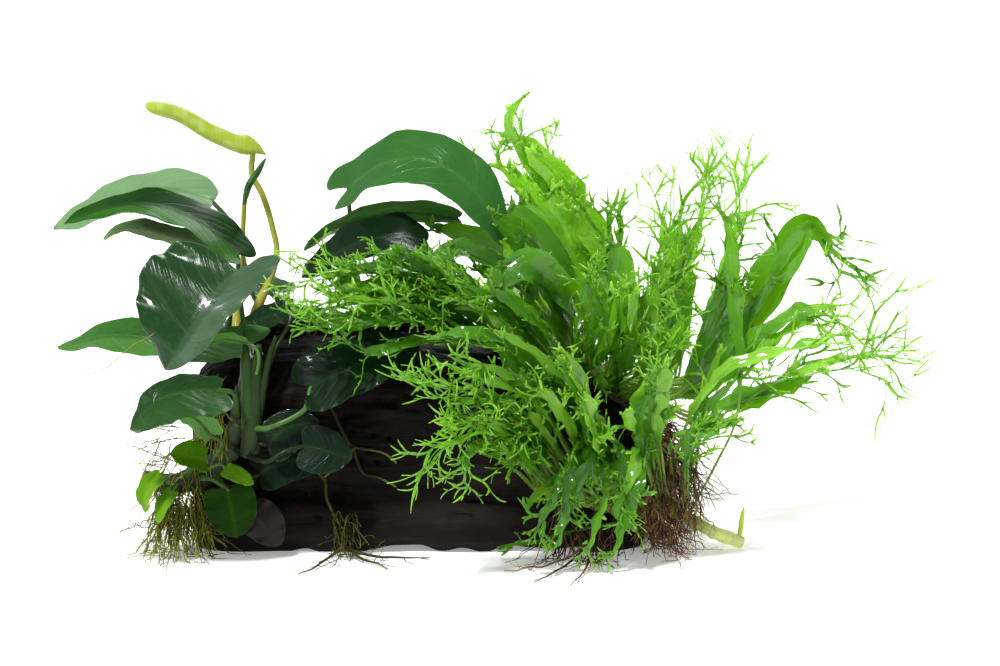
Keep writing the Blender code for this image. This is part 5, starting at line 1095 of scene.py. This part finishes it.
class Wire:
    """A value that runs through a finish: Python's + - and * on it add the Math nodes."""

    def __init__(self, finish, socket):
        self.finish, self.socket = finish, socket

    def maths(self, operation, *values):
        """A Math node with this operation on the values."""
        return self.finish.add("ShaderNodeMath", {"operation": operation}, dict(enumerate(values)))

    def __add__(self, other):
        return self.maths("ADD", self, other)

    def __sub__(self, other):
        return self.maths("SUBTRACT", self, other)

    def __rsub__(self, other):
        return self.maths("SUBTRACT", other, self)

    def __mul__(self, other):
        return self.maths("MULTIPLY", self, other)

    def __abs__(self):
        return self.maths("ABSOLUTE", self)

    __radd__, __rmul__ = __add__, __mul__

    def cosine(self):
        """The value's cosine."""
        return self.maths("COSINE", self)

    def ease(self, low, high):
        """0 below low and 1 above high, with a smooth step between."""
        settings = {"interpolation_type": "SMOOTHSTEP"}
        return self.finish.add("ShaderNodeMapRange", settings, {0: self, 1: low, 2: high, 3: 0.0, 4: 1.0})


class Finish:
    """One material: its nodes are added by type, settings and inputs."""

    def __init__(self, name, **constants):
        self.material = bpy.data.materials.new(name)
        self.material.use_nodes = True
        self.tree = self.material.node_tree
        self.surface = self.tree.nodes["Principled BSDF"]
        for socket, value in constants.items():
            self.surface.inputs[socket.replace("_", " ")].default_value = value

    def add(self, kind, settings, inputs, output=0):
        """One node of a kind, set first, then given the values or wires of its sockets."""
        node = self.tree.nodes.new(kind)
        for setting, value in settings.items():
            if setting == "stops":
                self.set_stops(node.color_ramp.elements, value)
            else:
                setattr(node, setting, value)
        for socket, value in inputs.items():
            if isinstance(value, Wire):
                self.tree.links.new(value.socket, node.inputs[socket])
            else:
                node.inputs[socket].default_value = value
        return Wire(self, node.outputs[output])

    def set_stops(self, elements, stops):
        """A ramp's places and colours."""
        while len(elements) < len(stops):
            elements.new(1.0)
        for element, (place, colour) in zip(elements, stops):
            element.position, element.color = place, (*colour, 1.0)

    def values(self, names):
        """The mesh's own values of these names."""
        return [self.add("ShaderNodeAttribute", {"attribute_name": name, "attribute_type": "GEOMETRY"}, {}, "Fac")
                for name in names.split()]

    def object_noise(self, scale, detail, stretch=(1, 1, 1), rough=0.55):
        """Noise fixed to the piece, with scale lumps to the metre times the stretch along each axis."""
        place = self.add("ShaderNodeTexCoord", {}, {}, "Object")
        place = self.add("ShaderNodeMapping", {}, {"Vector": place, "Scale": stretch})
        inputs = {"Vector": place, "Scale": scale, "Detail": detail, "Roughness": rough}
        return self.add("ShaderNodeTexNoise", {}, inputs)

    def noise_at(self, x, y, detail=2.0):
        """Noise read at two values of the mesh."""
        place = self.add("ShaderNodeCombineXYZ", {}, {"X": x, "Y": y})
        return self.add("ShaderNodeTexNoise", {}, {"Vector": place, "Scale": 1.0, "Detail": detail})

    def mix(self, share, a, b):
        """Colour a where the share is 0 and b where it is 1."""
        inputs = {0: share, 6: a if isinstance(a, Wire) else (*a, 1.0), 7: b if isinstance(b, Wire) else (*b, 1.0)}
        return self.add("ShaderNodeMix", {"data_type": "RGBA"}, inputs, 2)

    def ramp(self, value, *stops):
        """The colour of a value by its stops."""
        return self.add("ShaderNodeValToRGB", {"stops": stops}, {0: value})

    def shine_through(self, share, colour):
        """Lets light through the thin skin: a constant share of the surface passes it on in one colour."""
        glow = self.add("ShaderNodeBsdfTranslucent", {}, {"Color": (*colour, 1.0)})
        both = self.add("ShaderNodeMixShader", {}, {0: share, 1: Wire(self, self.surface.outputs[0]), 2: glow})
        self.tree.links.new(both.socket, self.tree.nodes["Material Output"].inputs["Surface"])

    def done(self, colour, roughness, height, strength, distance):
        """The material, with its colour, its roughness, and a bump of a height whose distance is in millimetres."""
        bump = {"Height": height, "Strength": strength, "Distance": distance * MM}
        wires = {"Base Color": colour, "Roughness": roughness, "Normal": self.add("ShaderNodeBump", {}, bump)}
        for socket, wire in wires.items():
            self.tree.links.new(wire.socket, self.surface.inputs[socket])
        return self.material


def wood_finish():
    """Wet driftwood: near-black grain drawn out along the log, browner in patches, lighter on the low slab."""
    wood = Finish("wet driftwood", Specular_IOR_Level=0.07)
    grain = wood.object_noise(34, 6.0, (0.12, 1.6, 1.6), 0.65)
    fibre = wood.object_noise(150, 4.0, (0.06, 1.5, 1.5), 0.6)
    patch = wood.object_noise(16, 2.0, (0.6, 1, 1))
    speck = wood.object_noise(700, 2.0, (0.5, 1, 1))
    bark = wood.object_noise(26, 4.0, (0.35, 1, 1))
    black = (0.0012, 0.0011, 0.0011)
    colour = wood.ramp(grain, (0.35, black), (0.55, (0.004, 0.0031, 0.0028)), (0.78, (0.018, 0.011, 0.009)))
    colour = wood.mix(0.4, colour, wood.ramp(fibre, (0.4, black), (0.75, (0.020, 0.013, 0.010))))
    colour = wood.mix(bark.ease(0.58, 0.68) * 0.45, colour, (0.022, 0.012, 0.008))
    place = wood.add("ShaderNodeTexCoord", {}, {}, "Object")
    height = wood.add("ShaderNodeSeparateXYZ", {}, {0: place}, "Z")
    slab = (1 - height.ease(0.018, 0.027)) * patch.ease(0.3, 0.55)
    colour = wood.mix(slab * 0.5, colour, (0.016, 0.0105, 0.0095))
    colour = wood.mix(speck.ease(0.62, 0.8) * 0.2, colour, (0.03, 0.022, 0.018))
    return wood.done(colour, 0.30 + 0.45 * fibre + 0.15 * patch, grain + 0.6 * fibre + 0.15 * speck, 1.0, 1.6)


def leaf_finish(name, deep, bright, pale, gloss, through, shine=0.16):
    """An anubias blade: green by tone, with arched side veins, a fine net between them and a paler underside."""
    blade = Finish(name, Coat_Weight=0.75 * shine, Coat_Roughness=0.06, Specular_IOR_Level=shine)
    along, across, rib, under, tone, vein, relief, light = blade.values(
        "along across rib under tone vein relief light")
    out = abs(across)
    cloud = blade.object_noise(55, 3.0)
    patches = blade.object_noise(22, 2.0)
    fine = blade.object_noise(420, 2.0)
    veins = (vein * TURN).cosine().ease(0.80, 1.0) * (1 - out.ease(0.80, 1.0))
    net = blade.noise_at(along * 95, out * 7)
    small = (vein * (TURN * 5)).cosine().ease(0.5, 1.0)
    middle = tuple(0.45 * (a * b) ** 0.5 + 0.35 * b * 0.5 + 0.1 * a for a, b in zip(deep, bright))
    shade = tone + 0.18 * (cloud - 0.5) + 0.22 * (patches - 0.5)
    colour = blade.ramp(shade, (0.0, deep), (0.4, middle), (1.0, bright))
    # Mixed towards the pale colour in turn: the fine net, the veins and midrib, the light value, the underside and the
    # margin. On a flat blade the light value is painted light, paler halves and tip where light falls or a sheen shows;
    # on a rolled leaf it is pale mottling.
    for share in (net.ease(0.45, 0.7) * 0.10 * tone, (veins * relief * 0.25 + rib * 0.25) * (0.2 + tone),
                  light * (0.7 + 0.5 * (cloud - 0.5) - 0.15 * small), under * 0.35,
                  out.ease(0.965, 1.0) * (0.06 + 0.45 * tone)):
        colour = blade.mix(share, colour, pale)
    blade.shine_through(0.12, through)
    return blade.done(colour, gloss + 0.12 * cloud + 0.20 * under + 0.10 * light,
                      (1 - veins) * 0.5 + net * 0.25 + small * 0.08 + fine * 0.10 + cloud * 0.8, 0.6, 0.5)


def stalk_finish(name, green, brown):
    """A stalk: smooth green by tone, flushed with brown in long streaks, and darker at its foot."""
    stalk = Finish(name, Coat_Weight=0.08, Coat_Roughness=0.15, Specular_IOR_Level=0.10)
    along, tone = stalk.values("along tone")
    streak = stalk.object_noise(120, 3.0, (1, 1, 0.25))
    colour = stalk.mix(tone, tuple(0.18 * c for c in green), tuple(1.7 * c for c in green))
    for share in (streak.ease(0.4, 0.7), 1 - along.ease(0.0, 0.15)):
        colour = stalk.mix(share * (0.15 + 0.5 * tone), colour, brown)
    return stalk.done(colour, 0.32 + 0.2 * streak, streak, 0.3, 0.4)


def fern_finish():
    """A frond: bright green by tone, darker towards each blade's foot as painted shade, a brown midrib low on the
    blade, light stalks, and tips that turn yellow-green, partly their own colour and partly painted light.
    """
    fern = Finish("lace fern frond", Coat_Weight=0.9, Coat_Roughness=0.04, Specular_IOR_Level=0.25)
    along, across, rib, tip, tone, stalk = fern.values("along across rib tip tone stalk")
    cloud = fern.object_noise(70, 3.0)
    cells = fern.noise_at(along * 60, across * 5)
    pleats = fern.noise_at(along * 5 + tone * 40, across * 4, 3.0)
    spots = fern.object_noise(900, 1.0)
    crinkle = fern.object_noise(240, 2.0)
    # Painted shade: the tone drops towards each blade's foot, deep in the fern. Painted light: the tips' yellow-green
    # grows with the frond's tone, strongest on the lit fronds on top.
    shade = tone + 0.3 * (cloud - 0.5) + 0.35 * (pleats - 0.5) + 0.3 * (along - 0.75)
    colour = fern.ramp(shade, (0.0, (0.006, 0.045, 0.003)), (0.45, (0.083, 0.29, 0.013)), (0.95, (0.38, 0.73, 0.05)))
    for share, other in ((cells.ease(0.5, 0.75) * 0.25, (0.03, 0.17, 0.008)),
                         (spots.ease(0.66, 0.78) * 0.15, (0.06, 0.08, 0.01)),
                         (rib * (1 - along.ease(0.45, 0.75)) * 0.5, (0.10, 0.055, 0.012)),
                         (stalk * 0.8, (0.26, 0.34, 0.07)),
                         (tip.ease(0.25, 1.0) * (0.04 + 0.8 * tone), (0.50, 0.80, 0.08))):
        colour = fern.mix(share, colour, other)
    fern.shine_through(0.42, (0.55, 0.95, 0.05))
    return fern.done(colour, 0.20 + 0.25 * cloud, cells * 0.4 + spots * 0.10 + rib * 0.5 + crinkle * 1.4 + pleats * 1.2,
                     0.85, 0.7)


def rhizome_finish(name, green, scale, scar, fresh=0.0):
    """A rhizome: green skin with brown scales and a dark ring at each old stalk's scar; fresh clears its young end."""
    skin = Finish(name, Coat_Weight=0.1, Coat_Roughness=0.3, Specular_IOR_Level=0.3)
    place, along = skin.values("place along")
    rings = (place * TURN).cosine().ease(0.55, 1.0)
    scales = skin.object_noise(320, 4.0)
    cloud = skin.object_noise(90, 2.0)
    young = (1 - (along + 0.12 * cloud).ease(0.16, 0.34)) * fresh
    colour = skin.mix(cloud.ease(0.35, 0.7) * 0.5, green, tuple(0.6 * c for c in green))
    colour = skin.mix(scales.ease(0.5, 0.62) * scar, colour, scale)
    colour = skin.mix(rings * 0.7, colour, scale)
    colour = skin.mix(young * (1 - 0.25 * scales.ease(0.55, 0.65)), colour, (0.80, 0.86, 0.30))
    return skin.done(colour, 0.40 + 0.25 * scales, scales + (1 - rings) * 0.6, 0.6, 0.6)


def root_finish(name, dark, light, tip_colour):
    """Roots: each a shade of its own, lighter towards its tip, with fine dark flecks."""
    root = Finish(name, Specular_IOR_Level=0.15)
    along, tone = root.values("along tone")
    fleck = root.object_noise(600, 2.0)
    colour = root.mix(tone, dark, light)
    colour = root.mix(along.ease(0.6, 1.0) * 0.6, colour, tip_colour)
    colour = root.mix(fleck.ease(0.55, 0.75) * 0.4, colour, dark)
    return root.done(colour, 0.45 + 0.3 * fleck, fleck, 0.4, 0.2)


# The whole plant.


def with_value(part, **values):
    """The same skin with more values, one number each for all its points."""
    more = {name: np.full(len(part.points), value) for name, value in values.items()}
    return part._replace(values={**part.values, **more})


# The thick stem is stalk feet wrapped round each other: points, radii at the foot, two fifths, four fifths and the
# end, and how light each is.
STALK_FEET = [
    ([(-85, 52, -56), (-86, 74, -58), (-86.5, 90, -57), (-87.5, 104, -55)], (4.0, 3.6, 3.0, 1.2), 0.17),
    ([(-84, 50, -55), (-82.5, 74, -57.5), (-82, 90, -56.5), (-80.5, 104, -54)], (4.2, 3.8, 3.1, 1.2), 0.09),
    ([(-81, 64, -56), (-79, 78, -58), (-76.5, 92, -57), (-72, 108, -54)], (1.8, 2.0, 1.5, 1.0), 0.05),
    ([(-86.5, 48, -57), (-85, 56, -58), (-84, 64, -58), (-83.5, 72, -57)], (3.4, 4.4, 4.3, 3.0), 0.10),
]


# The blades' finishes: a deep, a bright and a pale colour, the roughness, the colour of the light that shines
# through, and how strongly the skin shines. The pale colour is what the veins, the underside, the margin and the
# painted light of a blade's halves and tip turn to; for the pale back, broad front and hooked leaves it makes a
# greyish or whitish painted sheen, and shaded is a copy with a darker pale colour and less shine for leaves in shade.
DEEP_GREEN, FULL_GREEN, LEAF_LIGHT = (0.003, 0.008, 0.005), (0.050, 0.23, 0.034), (0.16, 0.50, 0.04)
BLADE_FINISHES = {
    "": (DEEP_GREEN, FULL_GREEN, (0.12, 0.33, 0.05), 0.14, LEAF_LIGHT),
    "pale": (DEEP_GREEN, FULL_GREEN, (0.24, 0.40, 0.20), 0.40, (0.35, 0.60, 0.20)),
    "young": ((0.32, 0.24, 0.02), (0.40, 0.60, 0.04), (0.60, 0.70, 0.26), 0.35, (0.60, 0.80, 0.10)),
    "shaded": (DEEP_GREEN, (0.040, 0.24, 0.012), (0.055, 0.26, 0.010), 0.25, LEAF_LIGHT, 0.05),
    "whitish": (DEEP_GREEN, FULL_GREEN, (0.60, 0.88, 0.36), 0.4, (0.45, 0.70, 0.30), 0.02),
    "broad": (DEEP_GREEN, FULL_GREEN, (0.26, 0.40, 0.27), 0.14, LEAF_LIGHT),
    "lime": ((0.001, 0.014, 0.001), (0.14, 0.36, 0.008), (0.24, 0.46, 0.03), 0.20, (0.06, 0.40, 0.01), 0.03),
    "old": ((0.016, 0.011, 0.010), (0.03, 0.022, 0.02), (0.03, 0.022, 0.02), 0.5, (0.04, 0.03, 0.02)),
}


def add_anubias():
    """The anubias: its leaves with their stalks, the young shoots, the stem, the rhizomes and the roots."""
    blades = {kind: leaf_finish(f"{kind} anubias leaf".strip(), *row) for kind, row in BLADE_FINISHES.items()}
    stalk = stalk_finish("anubias stalk", (0.055, 0.125, 0.028), (0.035, 0.045, 0.015))
    golden = stalk_finish("young anubias stalk", (0.40, 0.40, 0.06), (0.28, 0.15, 0.02))
    for number, (name, leaf) in enumerate(ANUBIAS_LEAVES.items()):
        looks, rolled = LeafLooks(*leaf.looks), leaf.kind == ROLLED
        face = rolled_skin(leaf) if rolled else blade_skin(leaf, 300 + number)
        parts = [with_value(face, tone=looks.tone, relief=looks.relief), with_value(stalk_skin(leaf), tone=looks.stalk)]
        add_piece(f"leaf_{name}", parts, [blades[leaf.finish], golden if rolled else stalk],
                  [f"anubias_leaf_{name}"])
    shoots = [part for number, leaf in enumerate(ANUBIAS_SHOOTS)
              for part in (blade_skin(leaf, 350 + number), stalk_skin(leaf))]
    add_piece("young_shoots", [with_value(part, tone=0.8, relief=0.1) for part in shoots], [blades["lime"], stalk])
    rhizome = rhizome_finish("anubias rhizome", (0.028, 0.060, 0.016), (0.014, 0.012, 0.007), 0.5)
    add_piece("anubias_stem", [rhizome_skin(ANUBIAS_FRONT, 0.11, 41)], [rhizome], [ANUBIAS_FRONT])
    feet = []
    for points, wide, tone in STALK_FEET:
        line = smooth(seen(points), 30)
        wrap = tubes(line[None], np.interp(np.linspace(0, 1, 30), (0, 0.4, 0.8, 1), wide)[None], 24)
        wrap = wrap + 0.25 * wide[1] * (noise(wrap / 4.0, 53)[..., None] - 0.5) * unit(wrap - line[None, :, None])
        feet.append(with_value(skins(wrap, along=np.linspace(0.05, 0.6, 30)[None, :, None]), tone=tone))
    add_piece("wrapped_stalk_feet", feet, [stalk])
    add_piece("anubias_creeper", [rhizome_skin(ANUBIAS_TOP, 0.13, 43)], [rhizome], [ANUBIAS_TOP])
    for name, roots, nodes, finish in (
        ("hanging_roots", left_tuft, ["anubias_roots_left"],
         ("olive roots", (0.045, 0.048, 0.006), (0.20, 0.21, 0.024), (0.44, 0.48, 0.05))),
        ("clinging_roots", front_roots, ["anubias_roots_front"],
         ("dark olive roots", (0.012, 0.012, 0.004), (0.075, 0.075, 0.012), (0.26, 0.29, 0.03))),
        ("creeper_roots", creeper_roots, [],
         ("dark hanging roots", (0.006, 0.005, 0.004), (0.035, 0.026, 0.014), (0.07, 0.07, 0.02))),
    ):
        add_piece(name, roots(), [root_finish(*finish)], nodes)


def add_fern():
    """The fern: its fronds and sprays, the rhizomes with the cut stub and its sprout, and the roots."""
    finish = fern_finish()
    for number, record in enumerate(FERN_FRONDS, 1):
        add_piece(f"frond_{number:02d}", frond_skins(record), [finish], [f"fern_frond_{number:02d}"])
    for name, table, rows in (("small_fronds", SMALL_FRONDS, 30), ("more_fronds", MORE_FRONDS, 40)):
        add_piece(name, [part for record in table for part in frond_skins(record, rows)], [finish])
    for number, (name, rows) in enumerate(SPRAYS.items()):
        parts = [part for k, row in enumerate(rows) for part in spray_skins(Spray(*row), 400 + 10 * number + k)]
        add_piece(name, parts, [finish])
    rhizome = rhizome_finish("fern rhizome", (0.20, 0.24, 0.04), (0.05, 0.03, 0.012), 0.75)
    stub = rhizome_finish("cut fern rhizome", (0.25, 0.31, 0.03), (0.08, 0.06, 0.02), 0.75, 1.0)
    sprout = stalk_finish("fern sprout", (0.42, 0.62, 0.05), (0.48, 0.58, 0.10))
    for name in (FERN_TOP, FERN_BACK):
        add_piece(name.replace("rhizome", "creeper"), [rhizome_skin(name, 0.2, 47)], [rhizome], [name])
    shoot = smooth([(158, -34, 4), (159, -34, 10), (159.5, -34, 15), (160.5, -34, 21)], 20)
    girth = np.interp(np.linspace(0, 1, 20), (0, 0.4, 0.75, 1), (0.9, 1.3, 1.0, 0.2))
    young = skins(tubes(shoot[None], girth[None], 10), 1, along=np.linspace(0.2, 1, 20)[None, :, None], tone=0.55)
    add_piece("fern_creeper_front", [rhizome_skin(FERN_FRONT, 0.2, 47), young], [stub, sprout],
              [FERN_FRONT])
    brown = root_finish("brown roots", (0.034, 0.017, 0.008), (0.28, 0.155, 0.066), (0.46, 0.29, 0.14))
    add_piece("root_mass", right_tuft(), [brown], ["fern_roots_right"])
    add_piece("creeping_roots", fern_floor_roots(), [brown], ["fern_roots_front"])


add_piece("log", [skins(log_rings())], [wood_finish()], ["driftwood_log"])
add_anubias()
add_fern()


# The studio: a pale floor that the pale surroundings meet, soft light from above and in front, and the camera.
# Here sizes are metres, and the camera's sensor and lens are millimetres.

FLOOR_REACH = 12.0
PLANT_MIDDLE = (0.03, 0.0, 0.1)
CAMERA_SENSOR, CAMERA_LENS = 36.0, 115.2
CAMERA_CLIP = (0.05, 60.0)


def add_floor():
    """A wide pale floor, with a little glow so that it meets the pale surroundings."""
    mesh = bpy.data.meshes.new("floor")
    corners = [(x * FLOOR_REACH, y * FLOOR_REACH, 0) for x, y in ((-1, -1), (1, -1), (1, 1), (-1, 1))]
    mesh.from_pydata(corners, [], [(0, 1, 2, 3)])
    paint = Finish("pale floor", Roughness=0.9, Specular_IOR_Level=0.1, Base_Color=(0.93, 0.93, 0.93, 1.0),
                   Emission_Color=(1.0, 1.0, 1.0, 1.0), Emission_Strength=0.30)
    mesh.materials.append(paint.material)
    floor = bpy.data.objects.new("floor", mesh)
    bpy.context.scene.collection.objects.link(floor)


def put(thing, place, aim):
    """Puts a light or the camera into the scene, turned towards a point."""
    bpy.context.scene.collection.objects.link(thing)
    thing.location = place
    look_at(thing, aim)


def add_light(name, kind, place, power, **settings):
    """One light that looks at the plant's middle."""
    lamp = bpy.data.lights.new(name, kind)
    lamp.energy = power
    for setting, value in settings.items():
        setattr(lamp, setting, value)
    holder = bpy.data.objects.new(name, lamp)
    put(holder, place, PLANT_MIDDLE)


def look_at(thing, aim):
    """Turns a thing's -Z towards a point, with its +Y up."""
    back = unit(np.array(thing.location) - np.array(aim))
    right = unit(np.cross((0, 0, 1), back))
    up = np.cross(back, right)
    turn = np.stack([right, up, back], axis=1)
    thing.rotation_euler = Matrix(turn.tolist()).to_euler()


def add_studio():
    """The floor, the pale surroundings, a high sun with two soft lights, and the camera at the front sheet's eye."""
    scene = bpy.context.scene
    add_floor()
    world = bpy.data.worlds.new("pale studio")
    world.use_nodes = True
    world.node_tree.nodes["Background"].inputs["Color"].default_value = (1.0, 1.0, 1.0, 1.0)
    world.node_tree.nodes["Background"].inputs["Strength"].default_value = 0.34
    scene.world = world
    add_light("high sun", "SUN", (-0.35, -0.55, 1.2), 3.6, angle=math.radians(7))
    add_light("left fill", "AREA", (-1.3, -0.6, 0.7), 3, shape="DISK", size=0.8)
    add_light("high back", "AREA", (0.2, 0.9, 0.9), 9, shape="DISK", size=0.7)
    aim, back = SHEET_AIM * MM, np.array([0.0, -math.cos(SHEET_TILT), math.sin(SHEET_TILT)])
    camera = bpy.data.objects.new("camera", bpy.data.cameras.new("camera"))
    put(camera, aim + SHEET_DISTANCE * MM * back, aim)
    camera.data.sensor_width, camera.data.lens = CAMERA_SENSOR, CAMERA_LENS
    camera.data.clip_start, camera.data.clip_end = CAMERA_CLIP
    scene.camera = camera
    scene.view_settings.view_transform = "Standard"


add_studio()
